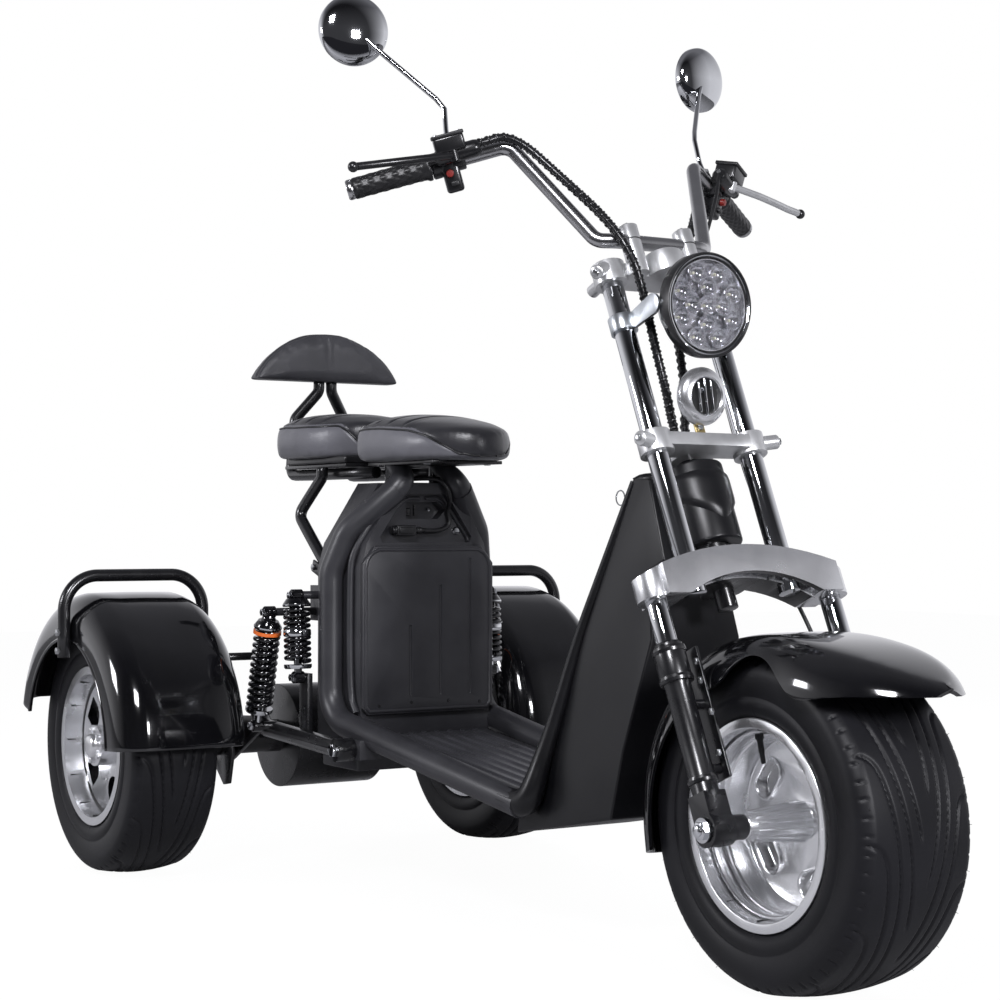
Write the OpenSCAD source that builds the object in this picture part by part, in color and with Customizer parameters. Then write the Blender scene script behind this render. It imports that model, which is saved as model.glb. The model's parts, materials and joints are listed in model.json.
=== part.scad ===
/* [Wheels] */
// Radius of every tyre
tyre_r = 228; // [200:1:250]
// Width of the front tyre
front_tyre_w = 190; // [150:1:210]
// Width of a rear tyre
rear_tyre_w = 158; // [120:1:180]
// Radius of the rim lip
lip_r = 141; // [120:1:150]
// Distance from the rear axle to the front axle
wheelbase = 1402; // [1350:1:1500]
// Distance between the middles of the rear tyres
track = 775; // [720:1:860]

/* [Fork] */
// Rake of the fork and of the steering axis, in degrees
rake = 24; // [20:0.5:28]
// Distance of the steering axis behind the fork tubes
fork_offset = 40; // [34:1:46]
// Diameter of the upper fork tubes
upper_tube_d = 32; // [28:1:36]
// Half the spacing of the upper fork tubes
upper_tube_y = 84; // [78:1:92]
// Diameter of the lower stanchions
stanchion_d = 30; // [26:1:32]
// Half the spacing of the lower stanchions
leg_y = 154; // [146:1:166]
// Outer diameter of a slider tube
slider_d = 36; // [34:1:40]
// Diameter of the slider's collar
collar_d = 44; // [42:1:50]
// Height of the crown's arms above the front axle, along the fork
crown_z = 318; // [310:1:330]
// Height of the crown's metal along the fork
crown_h = 40; // [34:1:46]
// Rise of the crown's arch in its middle
crown_rise = 30; // [20:1:36]
// Height of the lower clamp above the front axle, along the fork
lower_clamp_z = 540; // [530:1:556]
// Height of the top clamp above the front axle, along the fork
top_clamp_z = 812; // [800:1:830]
// Thickness of both clamps
clamp_h = 32; // [26:1:36]

/* [Handlebar] */
// Diameter of the handlebar
bar_d = 22; // [20:0.5:25]
// Half the width between the two outer ends of the grips
bar_half_w = 368; // [340:1:400]
// Height of the grips' inner ends above the ground
bar_top_z = 1176; // [1150:1:1200]
// Diameter of a grip
grip_d = 32; // [29:1:36]
// Length of a grip
grip_l = 118; // [105:1:125]
// Diameter of a mirror
mirror_d = 108; // [90:1:120]
// Diameter of the headlamp
lamp_d = 150; // [130:1:156]
// Diameter of the horn
horn_d = 78; // [66:1:84]

/* [Body] */
// Height of the footboard's rear edge above the ground
floor_rear_z = 262; // [250:1:275]
// Height of the footboard's front edge above the ground
floor_front_z = 206; // [195:1:220]
// Half the width of the seat column at its widest
column_half_w = 162; // [150:1:175]
// Half the width of the seat column at its top
column_top_half_w = 74; // [66:1:84]
// Height of the seat column's top above the ground
column_top_z = 696; // [680:1:704]
// Front face of the seat column, ahead of the rear axle
column_front_x = 396; // [386:1:400]
// Depth of the seat column
column_depth = 130; // [110:1:140]
// Diameter of the rolled edge along the body's sides
rail_d = 44; // [38:1:48]
// Half the width of the battery cover
cover_half_w = 131; // [120:1:134]
// Half the width of the leg shield at its foot
shield_half_w = 106; // [95:1:115]
// Half the width of the leg shield at its top
shield_top_half_w = 50; // [44:1:56]

/* [Seats] */
// Height of the seats' underside above the ground
seat_z = 732; // [726:1:745]
// Thickness of a seat
seat_h = 76; // [60:1:90]
// Length of the rider's seat
rider_seat_l = 320; // [290:1:340]
// Length of the passenger's seat
passenger_seat_l = 276; // [250:1:284]
// Width of the seats
seat_w = 296; // [260:1:310]
// Width of the backrest
backrest_w = 308; // [280:1:330]
// Height of the backrest pad
backrest_h = 95; // [80:1:110]

/* [Fenders] */
// Radius of the rear fenders' outer skin
rear_fender_r = 273; // [266:1:280]
// Width of a rear fender
rear_fender_w = 242; // [230:1:250]
// Radius of the front fender's outer skin
front_fender_r = 252; // [246:1:258]
// Width of the front fender
front_fender_w = 236; // [226:1:246]
// How far the front fender's tip reaches ahead of the front axle
nose = 270; // [255:1:285]
// Thickness of the fenders' skin
skin = 5; // [4:0.5:7]
// Diameter of the tube of the rear hoops
hoop_d = 22; // [18:1:26]
// Height of the hoops' top above the ground
hoop_top_z = 543; // [535:1:555]

/* [Hidden] */
$fn = 48;
// Running gap between pieces that turn on each other
gap = 0.3;
// Gap between a tube and the bore that holds it
fit = 0.15;
// Overrun of every cut past the face it goes through
over = 2;
// Half the size of a slab that stands for one side of a plane
far = 3000;

// How far the rear fenders reach behind the rear axle
tail = rear_fender_r * cos(15);
// Places of the two axles along the part
rear_x = -(wheelbase + nose - tail) / 2;
front_x = rear_x + wheelbase;
half_track = track / 2;

// Wheels
flange_t = 6;
flange_in = 4;
seat_drop = 14;
barrel_t = 6;
bead_r = lip_r - seat_drop;
web_t = 18;
hub_r = 26;
hub_end_r = 17;
axle_d = 16;
hub_gap = 8;
window_count = 5;
window_r = 17;
window_place = 84;
window_half_l = 11;
rear_axle_d = 25;
spoke_count = 5;
pocket_r = 24;
pocket_place = 82;
disc_r = 82;
disc_t = 4;
disc_y = 112;
// End of the hub, where the disc is bolted on
hub_end = disc_y - disc_t / 2 - fit;

// Fork, all along the fork from the front axle
slider_foot = 24;
slider_top = 250;
collar_l = 40;
collar_taper = 14;
eye_r = 23;
stanchion_sunk = 40;
crown_depth = 34;
crown_wall = 9;
crown_end = 26;
crown_end_share = 0.16;
crown_pocket = 14;
stem_r = 15;
stem_boss_r = 33;
head_r = 25;
head_gap = 6;
clamp_boss_r = 25;
clamp_half_d = 22;
riser_x = 26;
riser_y = 50;
riser_r = 15;
riser_h = 52;
bar_z = top_clamp_z + clamp_h + 28;
pod_r = 30;
pod_h = 26;
hood_r = 46;
caliper_low = [-78, 36];
caliper_size = [48, 48];
caliper_t = 28;
arm_t = 12;

// Handlebar and mirrors: ahead of the front axle, off the middle, and above the height of the bar
bar_base = [wheelbase, 0, bar_top_z];
bar_low_off = [-349, 99, -140];
bar_high_off = [-472, 172, 10];
bar_end_off = [-592, bar_half_w, -55];
lever_ball_off = [-502, 418, -40];
mirror_knee_off = [-552, 236, 76];
mirror_off = [-660, 332, 200];
bar_low_bend = bar_base + bar_low_off;
bar_high_bend = bar_base + bar_high_off;
bar_end = bar_base + bar_end_off;
bar_bend_r = 48;
lever_ball = bar_base + lever_ball_off;
ball_r = 8;
lever_r = 5;
mirror_knee = bar_base + mirror_knee_off;
mirror_place = bar_base + mirror_off;
mirror_depth = 20;
mirror_turn = 12;
stem_wire_r = 4;

// Lamp and horn, ahead of the fork and up along it
lamp_ahead = 96;
lamp_up = 732;
lamp_place = fork_point(lamp_ahead, 0, lamp_up);
lamp_x = lamp_place.x;
lamp_z = lamp_place.z;
lamp_depth = 62;
lamp_rim = 9;
cup_r = 12;
ear_z = 734;
ear_h = 24;
ear_t = 4;
horn_foot_l = 70;
horn_ahead = 38;
horn_up = 76;
horn_place = fork_point(horn_ahead, 0, lower_clamp_z + horn_up);
horn_depth = 36;

// Body, from the rear axle
column_rear_x = column_front_x - column_depth;
column_step_x = column_front_x - 54;
column_step = 16;
rail_y = column_half_w - 12;
rail_bend = 62;
rail_sides = 18;
knee_x = 327;
rail_ahead = -502;
rail_drop = 4;
rail_front = [wheelbase + rail_ahead, shield_half_w + rail_d / 2 + fit, floor_front_z - rail_drop];
shield_low_z = 152;
cover_t = 9;
cover_low_z = 297;
cover_top_z = 586;
// Half outline of the recess above the cover: half width, then height
recess_half = [[88, 592], [92, 602], [46, 670], [38, 676]];
recess_deep = 16;
slot_z = 648;
slot_half_l = 32;
slot_half_h = 15;
slot_deep = 22;
groove_w = 5;
groove_deep = 3;
floor_t = 12;
rib_h = 4;
rib_w = 8;
rib_count = 8;

// Seats, from the rear axle
rider_seat_x = 292;
passenger_seat_x = 6;
plate_t = 5.7;
seat_tube_r = 11;
seat_tube_y = 62;
post_r = 18;
backrest_x = 14;
backrest_z = 893;
backrest_t = 46;
strut_top = [176, 90, 0];
strut_bend = [126, 112, 641];
strut_foot = [0, 112, 540];

// Rear end, from the rear axle
swing_y = 190;
swing_r = 16;
pivot_x = 446;
pivot_z = 246;
bolt_r = 7;
housing_r = 30;
housing_half_l = 236;
motor_r = 96;
motor_half_l = 92;
shock_r = 20;
eye_half_l = 10.5;
shock_plate = [76, 22, 62];
lug_l = 60;
lug_t = 9;
lug_in = 132;
coil_wire_r = 4.2;
box_back = 40;
box_low_z = 196;

// Helpers

function unit(v) = v / norm(v);
function turn_of(a, b) = acos(min(1, max(-1, a * b)));
function fork_point(xp, y, zp) =
  [wheelbase + xp * cos(rake) - zp * sin(rake), y, tyre_r + xp * sin(rake) + zp * cos(rake)];
function arc(centre, r, from, to, steps) =
  [for (i = [0:steps]) let (t = from + (to - from) * i / steps) centre + r * [cos(t), sin(t)]];

// Pieces placed from the rear axle, on the ground
module on_chassis() {
  translate([rear_x, 0, 0]) children();
}

// Pieces placed from the front axle: Z runs up along the fork, X forward
module on_fork() {
  translate([front_x, 0, tyre_r]) rotate([0, -rake, 0]) children();
}

module both_sides() {
  children();
  mirror([0, 1, 0]) children();
}

// A round bar from a to b
module rod(a, b, r) {
  d = b - a;
  translate(a) rotate([0, acos(d.z / norm(d)), atan2(d.y, d.x)]) cylinder(h = norm(d), r = r);
}

// Points along a bent path: each corner is an arc of one bend radius
bend_steps = 5;
function corner_arc(p, a, b, bend) =
  let (turn = turn_of(a, b), m = unit(b - a * (a * b)), c = p - a * (bend * tan(turn / 2)) + m * bend)
  [for (k = [0:bend_steps]) let (t = turn * k / bend_steps) c - m * (bend * cos(t)) + a * (bend * sin(t))];
function bent_path(points, bend) =
  let (last = len(points) - 1, ways = [for (i = [0:last - 1]) unit(points[i + 1] - points[i])])
  concat([points[0]], [for (i = [1:last - 1]) each corner_arc(points[i], ways[i - 1], ways[i], bend)], [points[last]]);

// A round section swept along points, its radius given at each point or once for all
function path_way(points, i) =
  unit(points[min(i + 1, len(points) - 1)] - points[max(i - 1, 0)]);
function carried(points, i, side) =
  i == len(points) ? [] :
  let (w = path_way(points, i), s = unit(side - w * (side * w))) concat([s], carried(points, i + 1, s));
module sweep(points, r, sides = 12) {
  last = len(points) - 1;
  first = path_way(points, 0);
  sideways = carried(points, 0, abs(first.z) > abs(first.y) ? [0, 1, 0] : [0, 0, 1]);
  rings = [for (i = [0:last]) let (w = path_way(points, i), u = sideways[i], v = cross(w, u))
    for (k = [0:sides - 1])
      points[i] + (is_list(r) ? r[i] : r) * (cos(360 * k / sides) * u + sin(360 * k / sides) * v)];
  polyhedron(points = rings, faces = concat(
    [[for (k = [0:sides - 1]) k]],
    [for (i = [0:last - 1]) for (k = [0:sides - 1]) let (n = (k + 1) % sides)
      [i * sides + k, (i + 1) * sides + k, (i + 1) * sides + n, i * sides + n]],
    [[for (k = [0:sides - 1]) last * sides + sides - 1 - k]]
  ));
}
// A bent tube
module tube_path(points, r, bend, sides = 12) {
  sweep(bent_path(points, bend), r, sides);
}
// Rounds a hand-chosen route: each corner is cut twice
function smooth(points) =
  concat([points[0]],
    [for (i = [0:len(points) - 2]) each [points[i] * 0.75 + points[i + 1] * 0.25, points[i] * 0.25 + points[i + 1] * 0.75]],
    [points[len(points) - 1]]);

// Wheels

// Half section of a tyre: radius, then distance from the wheel's middle
function tyre_side(w) = let (h = w / 2)
  concat(
    [[bead_r + gap, h - flange_in - flange_t - gap], [lip_r + gap, h - flange_in - flange_t - gap]],
    [[lip_r + flange_in, h - flange_in], [lip_r + flange_t * 3, h]],
    arc([tyre_r - w / 7 - 6, h - w / 7], w / 7, 90, 20, 6),
    [[tyre_r, 0]]
  );
module tyre(w) {
  side = tyre_side(w);
  n = len(side);
  rotate([90, 0, 0]) rotate_extrude()
    polygon(concat(side, [for (i = [1:n - 1]) [side[n - 1 - i].x, -side[n - 1 - i].y]]));
}
module at_front_wheel() {
  translate([front_x, 0, tyre_r]) children();
}
module at_rear_wheel() {
  translate([rear_x, -half_track, tyre_r]) children();
}
// Barrel of a rim with its two flanges and a stepped inside
module barrel(w) {
  h = w / 2 - flange_in;
  step = h * 0.55;
  rotate([90, 0, 0]) rotate_extrude() {
    polygon([
      [bead_r, -h], [lip_r, -h], [lip_r, flange_t - h], [bead_r, flange_t - h],
      [bead_r, h - flange_t], [lip_r, h - flange_t], [lip_r, h], [bead_r, h],
      [bead_r - barrel_t / 2, step], [bead_r - barrel_t * 2, step - barrel_t],
      [bead_r - barrel_t * 2, barrel_t - step], [bead_r - barrel_t / 2, -step]
    ]);
  }
}
module tyre_front() {
  color("#1c1d20") at_front_wheel() tyre(front_tyre_w);
}
module rim_front() {
  inner = bead_r - barrel_t * 1.5;
  color("#c9cbce") at_front_wheel() difference() {
    union() {
      barrel(front_tyre_w);
      rotate([90, 0, 0]) cylinder(r = inner, h = web_t, center = true);
      rotate([90, 0, 0]) rotate_extrude()
        polygon([[0, -hub_end], [hub_end_r, -hub_end], [hub_r, 0], [hub_end_r, hub_end], [0, hub_end]]);
    }
    rotate([90, 0, 0]) cylinder(d = axle_d + gap * 2, h = front_tyre_w * 2, center = true);
    for (i = [0:window_count - 1]) rotate([0, i * 360 / window_count, 0]) translate([window_place, 0, 0])
      rotate([90, 0, 0]) {
        for (s = [-1, 1]) translate([0, s * window_half_l, 0])
          cylinder(r = window_r, h = web_t + over * 2, center = true);
        cube([window_r * 2, window_half_l * 2, web_t + over * 2], center = true);
      }
  }
}
module brake_disc_front() {
  color("#9a9da2") at_front_wheel() translate([0, disc_y, 0]) rotate([90, 0, 0]) difference() {
    cylinder(r = disc_r, h = disc_t, center = true);
    cylinder(d = axle_d + gap * 2, h = disc_t + over, center = true);
    for (i = [0:window_count - 1]) rotate(i * 360 / window_count) translate([disc_r * 0.56, 0, 0])
      cylinder(r = disc_r * 0.2, h = disc_t + over, center = true);
  }
}
module rim_rear() {
  inner = bead_r - barrel_t * 1.5;
  face_y = -rear_tyre_w / 5;
  hub_l = rear_tyre_w / 2 - flange_in * 3;
  difference() {
    union() {
      barrel(rear_tyre_w);
      translate([0, face_y, 0]) rotate([90, 0, 0]) cylinder(r = inner, h = web_t, center = true);
      rotate([90, 0, 0]) cylinder(r = hub_r * 1.4, h = hub_l * 2, center = true);
    }
    translate([0, over - hub_l * 0.8, 0]) rotate([-90, 0, 0])
      cylinder(d = rear_axle_d + gap * 2, h = rear_tyre_w * 2);
    for (i = [0:spoke_count - 1]) rotate([0, i * 360 / spoke_count, 0]) translate([pocket_place, face_y, 0])
      rotate([90, 0, 0]) {
        cylinder(r = pocket_r, h = web_t + over * 2, center = true);
        translate([pocket_r / 2, 0, 0])
          cube([pocket_r, pocket_r * 2, web_t + over * 2], center = true);
      }
  }
}
module tyre_rear_right() {
  color("#1c1d20") at_rear_wheel() tyre(rear_tyre_w);
}
module tyre_rear_left() {
  mirror([0, 1, 0]) tyre_rear_right();
}
module rim_rear_right() {
  color("#b9bbbf") at_rear_wheel() rim_rear();
}
module rim_rear_left() {
  mirror([0, 1, 0]) rim_rear_right();
}

// Front fork

module front_axle() {
  leg_in = leg_y - slider_d / 2 - gap;
  spacers = [[1, hub_end + over / 2], [-1, disc_y + disc_t]];
  color("#303236") at_front_wheel() rotate([90, 0, 0]) {
    cylinder(d = axle_d, h = leg_y * 2 + slider_d + eye_r, center = true);
    for (spacer = spacers) let (side = spacer[0], start = spacer[1])
      translate([0, 0, side * (start + leg_in) / 2]) cylinder(r = hub_end_r, h = leg_in - start, center = true);
    for (s = [-1, 1]) translate([0, 0, s * (leg_y + slider_d / 2 + gap + hub_gap / 2)])
      cylinder(d = axle_d * 1.6, h = hub_gap, center = true, $fn = 6);
  }
}
module slider_leg() {
  difference() {
    union() {
      translate([0, 0, slider_foot]) cylinder(d = slider_d, h = slider_top - slider_foot - over);
      translate([0, 0, slider_top - collar_l]) cylinder(d = collar_d, h = collar_l);
      translate([0, 0, slider_top - collar_l - collar_taper])
        cylinder(d1 = slider_d, d2 = collar_d, h = collar_taper);
      rotate([90, 0, 0]) cylinder(r = eye_r, h = slider_d, center = true);
      translate([-slider_d / 2, -slider_d / 2, 0]) cube([slider_d, slider_d, slider_foot * 2]);
      for (z = [collar_l * 2, slider_top - collar_l * 2]) translate([0, 0, z]) rotate([90, 0, 0])
        cylinder(r = bolt_r, h = leg_y - front_fender_w / 2 - skin);
    }
    rotate([90, 0, 0]) cylinder(d = axle_d + fit * 2, h = slider_d * 2, center = true);
    translate([0, 0, slider_top - stanchion_sunk])
      cylinder(d = stanchion_d + fit * 2, h = stanchion_sunk + over);
  }
}
module fork_sliders() {
  color("#222326") on_fork() both_sides() translate([0, leg_y, 0]) slider_leg();
}
module stanchions() {
  top = crown_z + crown_h - crown_wall * 2 - fit;
  color("#d4d6d9") on_fork() both_sides() translate([0, leg_y, slider_top - stanchion_sunk])
    cylinder(d = stanchion_d, h = top - slider_top + stanchion_sunk);
}
// Arch of the crown seen from the front: a band between two arcs, with square ends
crown_steps = 14;
crown_half = leg_y + crown_end;
crown_foot = 116;
function sagged(half, rise, z) = let (r = (half * half + rise * rise) / (2 * rise))
  [for (i = [0:crown_steps]) let (t = asin(half / r) * (2 * i / crown_steps - 1)) [r * sin(t), z + rise - r + r * cos(t)]];
module crown_arch() {
  polygon(concat(
    sagged(crown_half, crown_h * crown_end_share + crown_rise, crown_z + crown_h * (1 - crown_end_share)),
    [[crown_half, crown_z]],
    back_to_front(sagged(crown_foot, crown_rise, crown_z)),
    [[-crown_half, crown_z]]
  ));
}
module fork_crown() {
  wall = crown_wall;
  color("#cfd1d4") on_fork() difference() {
    intersection() {
      rotate([90, 0, 90]) linear_extrude(height = far, center = true) crown_arch();
      union() {
        translate([-crown_depth, -leg_y, 0]) cube([crown_depth * 2, leg_y * 2, far]);
        both_sides() translate([0, leg_y, 0]) cylinder(r = crown_end, h = far);
        translate([-crown_depth, leg_y - crown_end, 0]) cube([crown_depth * 2, crown_end, far]);
        translate([-fork_offset, 0, 0]) cylinder(r = stem_boss_r, h = far);
        translate([-fork_offset, -stem_boss_r, 0]) cube([fork_offset, stem_boss_r * 2, far]);
      }
    }
    intersection() {
      translate([wall - crown_depth + stem_boss_r, -crown_foot, 0])
        cube([crown_depth * 2 - wall * 2 - stem_boss_r, crown_foot * 2, far]);
      translate([0, 0, crown_pocket]) rotate([90, 0, 90]) linear_extrude(height = far, center = true)
        polygon(concat(sagged(crown_foot, crown_rise, crown_z), [[crown_foot, 0], [-crown_foot, 0]]));
    }
    both_sides() translate([0, leg_y, 0])
      cylinder(d = stanchion_d + fit * 2, h = crown_z + crown_h - crown_wall * 2);
    both_sides() translate([0, upper_tube_y, crown_z + crown_wall])
      cylinder(d = upper_tube_d + fit * 2, h = far);
    translate([-fork_offset, 0, crown_z - over]) cylinder(r = stem_r + fit, h = far);
  }
}
module upper_tubes() {
  color("#d4d6d9") on_fork() both_sides() translate([0, upper_tube_y, crown_z + crown_wall + fit])
    cylinder(d = upper_tube_d, h = top_clamp_z + clamp_h - crown_z - crown_wall);
}
// Plate that joins the two upper tubes, with round bosses and a bowed web
module clamp_plate(back) {
  difference() {
    union() {
      both_sides() translate([0, upper_tube_y, 0]) cylinder(r = clamp_boss_r, h = clamp_h);
      translate([-clamp_half_d, -upper_tube_y, clamp_h / 5])
        cube([clamp_half_d * 2, upper_tube_y * 2, clamp_h * 0.6]);
      if (back > 0) {
        translate([-back, 0, clamp_h / 5]) cylinder(r = stem_boss_r, h = clamp_h * 0.6);
        translate([-back, -stem_boss_r, clamp_h / 5]) cube([back, stem_boss_r * 2, clamp_h * 0.6]);
      }
    }
    both_sides() translate([0, upper_tube_y, -over])
      cylinder(d = upper_tube_d + fit * 2, h = clamp_h + over * 2);
    if (back > 0) translate([-back, 0, -over]) cylinder(r = stem_r + fit, h = clamp_h + over * 2);
  }
}
module lower_clamp() {
  color("#c4c6c9") on_fork() translate([0, 0, lower_clamp_z]) clamp_plate(fork_offset);
}
module top_clamp() {
  color("#c4c6c9") on_fork() difference() {
    union() {
      translate([0, 0, top_clamp_z]) clamp_plate(0);
      both_sides() translate([riser_x, riser_y, top_clamp_z + clamp_h / 5]) cylinder(r = riser_r, h = clamp_h * 0.8 + riser_h);
      both_sides() translate([0, upper_tube_y, top_clamp_z + clamp_h / 2]) rotate([0, -90, 0])
        cylinder(r = clamp_h * 0.3, h = clamp_boss_r * 2 - over);
      translate([riser_x, 0, top_clamp_z + clamp_h / 5]) cylinder(r = pod_r, h = clamp_h * 0.6 + pod_h / 2);
    }
    both_sides() translate([0, upper_tube_y, top_clamp_z - over])
      cylinder(d = upper_tube_d + fit * 2, h = clamp_h + over * 2);
    translate([riser_x, 0, bar_z]) rotate([90, 0, 0]) cylinder(d = bar_d + fit * 2, h = far, center = true);
  }
}
module steering_stem() {
  color("#6d7075") on_fork() translate([-fork_offset, 0, crown_z + over])
    cylinder(r = stem_r, h = lower_clamp_z + clamp_h - crown_z);
}

// Handlebar and what it carries

bar_centre = fork_point(riser_x, 0, bar_z);
bar_straight = [0, riser_y + riser_r + bar_d / 2, 0];
function flip(p) = [p.x, -p.y, p.z];
module handlebar() {
  color("#cfd1d4") on_chassis() tube_path(
    [flip(bar_end), flip(bar_high_bend), flip(bar_low_bend), bar_centre - bar_straight,
      bar_centre + bar_straight, bar_low_bend, bar_high_bend, bar_end],
    bar_d / 2, bar_bend_r / 2);
}
bar_way = unit(bar_end - bar_high_bend);
bar_fore = unit([1, 0, 0] - bar_way * bar_way.x);
bar_up = cross(bar_fore, bar_way);
// Pieces on the left grip's axis: X up, Y forward, Z outward, from a place inside the grip's end
module on_bar(back) {
  o = bar_end - bar_way * back;
  on_chassis() multmatrix([
    [bar_up.x, bar_fore.x, bar_way.x, o.x],
    [bar_up.y, bar_fore.y, bar_way.y, o.y],
    [bar_up.z, bar_fore.z, bar_way.z, o.z],
    [0, 0, 0, 1]
  ]) children();
}
grip_cap = 9;
grip_flange = 7;
switch_l = 26;
clamp_l = 22;
reservoir = [30, 34, 56];
mirror_lift = 30;
mirror_back = 22;
pod_drop_share = 1.2;
module grip() {
  on_bar(grip_l) difference() {
    union() {
      cylinder(d = grip_d, h = grip_l + over);
      cylinder(d = grip_d + grip_flange, h = grip_flange);
      translate([0, 0, grip_l + over]) cylinder(d = grip_d - over, h = grip_cap);
    }
    translate([0, 0, -over]) cylinder(d = bar_d + fit * 2, h = grip_l + over + fit);
  }
}
module grip_left() {
  color("#2a2b2e") grip();
}
module grip_right() {
  color("#2a2b2e") mirror([0, 1, 0]) grip();
}
// Where the brake's clamp stands along the bar, and the foot of the mirror above it
control_start = grip_l + gap + switch_l;
mirror_base = bar_end - bar_way * (control_start + clamp_l / 2);
mirror_way = unit(bar_up * mirror_lift - bar_fore * mirror_back);
mirror_foot = mirror_base + mirror_way * norm([mirror_lift, mirror_back]);
// Ends of the brake's cylinder and of the switch pod, where cords begin
master_end = bar_end - bar_way * (control_start + clamp_l + reservoir.z / 4 + fit)
  + bar_up * reservoir.x / 2 + bar_fore * (ball_r + reservoir.y / 2);
pod_end = bar_end - bar_way * (control_start + clamp_l / 2 + fit) - bar_up * reservoir.x * pod_drop_share;
module controls() {
  start = control_start;
  difference() {
    union() {
      on_bar(start) cylinder(d = grip_d + grip_flange, h = switch_l);
      on_bar(start + clamp_l) cylinder(d = grip_d, h = clamp_l + over);
      on_bar(start + clamp_l) translate([0, ball_r, -reservoir.z / 4]) cube(reservoir);
      on_bar(start + clamp_l / 2) translate([-reservoir.x * pod_drop_share, 0, 0]) {
        cylinder(d = grip_d * 0.7, h = switch_l);
        translate([0, -grip_d * 0.3, 0]) cube([reservoir.x, grip_d * 0.6, switch_l]);
      }
      on_chassis() rod(mirror_base, mirror_foot - mirror_way * fit, ball_r);
    }
    on_bar(start + clamp_l * 3) cylinder(d = bar_d + fit * 2, h = clamp_l * 3 + switch_l + over);
  }
}
// Brake lever: a thin blade from its pivot to a ball at its tip
module lever() {
  pivot = mirror_base + bar_fore * reservoir.y + bar_up * ball_r;
  way = unit(lever_ball - pivot);
  tip = lever_ball - way * ball_r;
  ball = [for (k = [0:4]) lever_ball - way * ball_r * cos(k * 40 + 20)];
  on_chassis() sweep(
    concat([pivot, pivot + (tip - pivot) * 0.35 + bar_fore * ball_r / 2, pivot + (tip - pivot) * 0.75, tip - way * ball_r], ball),
    concat([lever_r * 1.5, lever_r, lever_r, lever_r * 0.8], [for (k = [0:4]) ball_r * sin(k * 40 + 20)]), 8);
}
module controls_left() {
  color("#232427") {
    controls();
    lever();
  }
}
module controls_right() {
  color("#232427") mirror([0, 1, 0]) {
    controls();
    lever();
  }
}
module mirror_head() {
  on_chassis() {
    tube_path([mirror_foot, mirror_foot + mirror_way * bolt_r * 2, mirror_knee, mirror_place], stem_wire_r, bolt_r);
    translate(mirror_place) rotate([0, 0, mirror_turn]) rotate([0, 90, 0]) rotate_extrude()
      polygon(concat([[0, -stem_wire_r * 2]], [[mirror_d / 2, -stem_wire_r * 2]],
        [for (i = [0:6]) [mirror_d / 2 * cos(i * 15), mirror_depth * sin(i * 15)]]));
  }
}
module mirror_left() {
  color("#b8babd") mirror_head();
}
module mirror_right() {
  color("#b8babd") mirror([0, 1, 0]) mirror_head();
}

// Lamp and horn

module lamp_axis() {
  on_chassis() translate([lamp_x, 0, lamp_z]) rotate([0, 90, 0]) children();
}
module headlamp() {
  shell_r = lamp_d / 2;
  color("#26272a") difference() {
    union() {
      lamp_axis() translate([0, 0, -lamp_depth]) cylinder(r1 = shell_r * 0.6, r2 = shell_r - over, h = lamp_depth * 0.7);
      lamp_axis() translate([0, 0, -lamp_depth * 0.3]) cylinder(r = shell_r, h = lamp_depth * 0.3);
    }
    lamp_axis() translate([0, 0, -lamp_depth * 0.25]) cylinder(r = shell_r - lamp_rim, h = lamp_depth);
  }
  color("#aab2ba") both_sides() difference() {
    union() {
      on_fork() translate([0, upper_tube_y, ear_z]) cylinder(d = upper_tube_d + ear_t * 2, h = ear_h);
      on_chassis() hull() {
        translate([lamp_x - lamp_depth * 0.5, shell_r - over, lamp_z]) rotate([-90, 0, 0])
          cylinder(r = riser_r, h = ear_t + over);
        translate(fork_point(upper_tube_d / 2, shell_r - over, ear_z + ear_h / 2)) rotate([-90, 0, 0])
          cylinder(r = ear_h / 2, h = ear_t + over);
      }
    }
    on_fork() translate([0, upper_tube_y, 0]) cylinder(d = upper_tube_d + fit * 2, h = far);
    lamp_axis() translate([0, 0, -lamp_depth]) cylinder(r = shell_r + fit, h = lamp_depth * 2);
  }
}
module headlamp_glass() {
  lens_r = lamp_d / 2 - lamp_rim - gap;
  color("#dfe3e8") lamp_axis() translate([0, 0, -lamp_depth * 0.25 + fit]) {
    difference() {
      cylinder(r = lens_r, h = lamp_depth * 0.22);
      for (ring = [[1, 0], [4, 0.36], [8, 0.74]]) for (i = [0:ring[0] - 1])
        rotate(i * 360 / ring[0]) translate([lens_r * ring[1], 0, lamp_depth * 0.22])
          cylinder(r1 = cup_r * 0.4, r2 = cup_r, h = cup_r, center = true);
    }
  }
}
module horn() {
  color("#cfd1d4") on_chassis() translate(horn_place) rotate([0, 90, 0]) {
    difference() {
      union() {
        translate([0, 0, -horn_depth * 0.6]) cylinder(r = horn_d / 2, h = horn_depth * 0.6);
        translate([0, 0, -horn_depth]) cylinder(r = horn_d / 3, h = horn_depth);
      }
      translate([0, 0, -horn_depth * 0.2]) cylinder(r = horn_d * 0.36, h = horn_depth);
    }
    for (i = [-1:1]) translate([-horn_d * 0.34, i * horn_d * 0.18 - over / 2, -horn_depth * 0.25])
      cube([horn_d * 0.68, over, horn_depth * 0.2]);
  }
  color("#a89b6a") on_fork() translate([over, -bolt_r, lower_clamp_z + clamp_h * 0.8 + fit])
    cube([ear_t, bolt_r * 2, horn_foot_l]);
}

// Cords that the fork carries, from the rear axle
bundle_r = 7;
hose_r = 3;
stem_top = fork_point(-fork_offset, 0, lower_clamp_z + clamp_h + over + fit);
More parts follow.
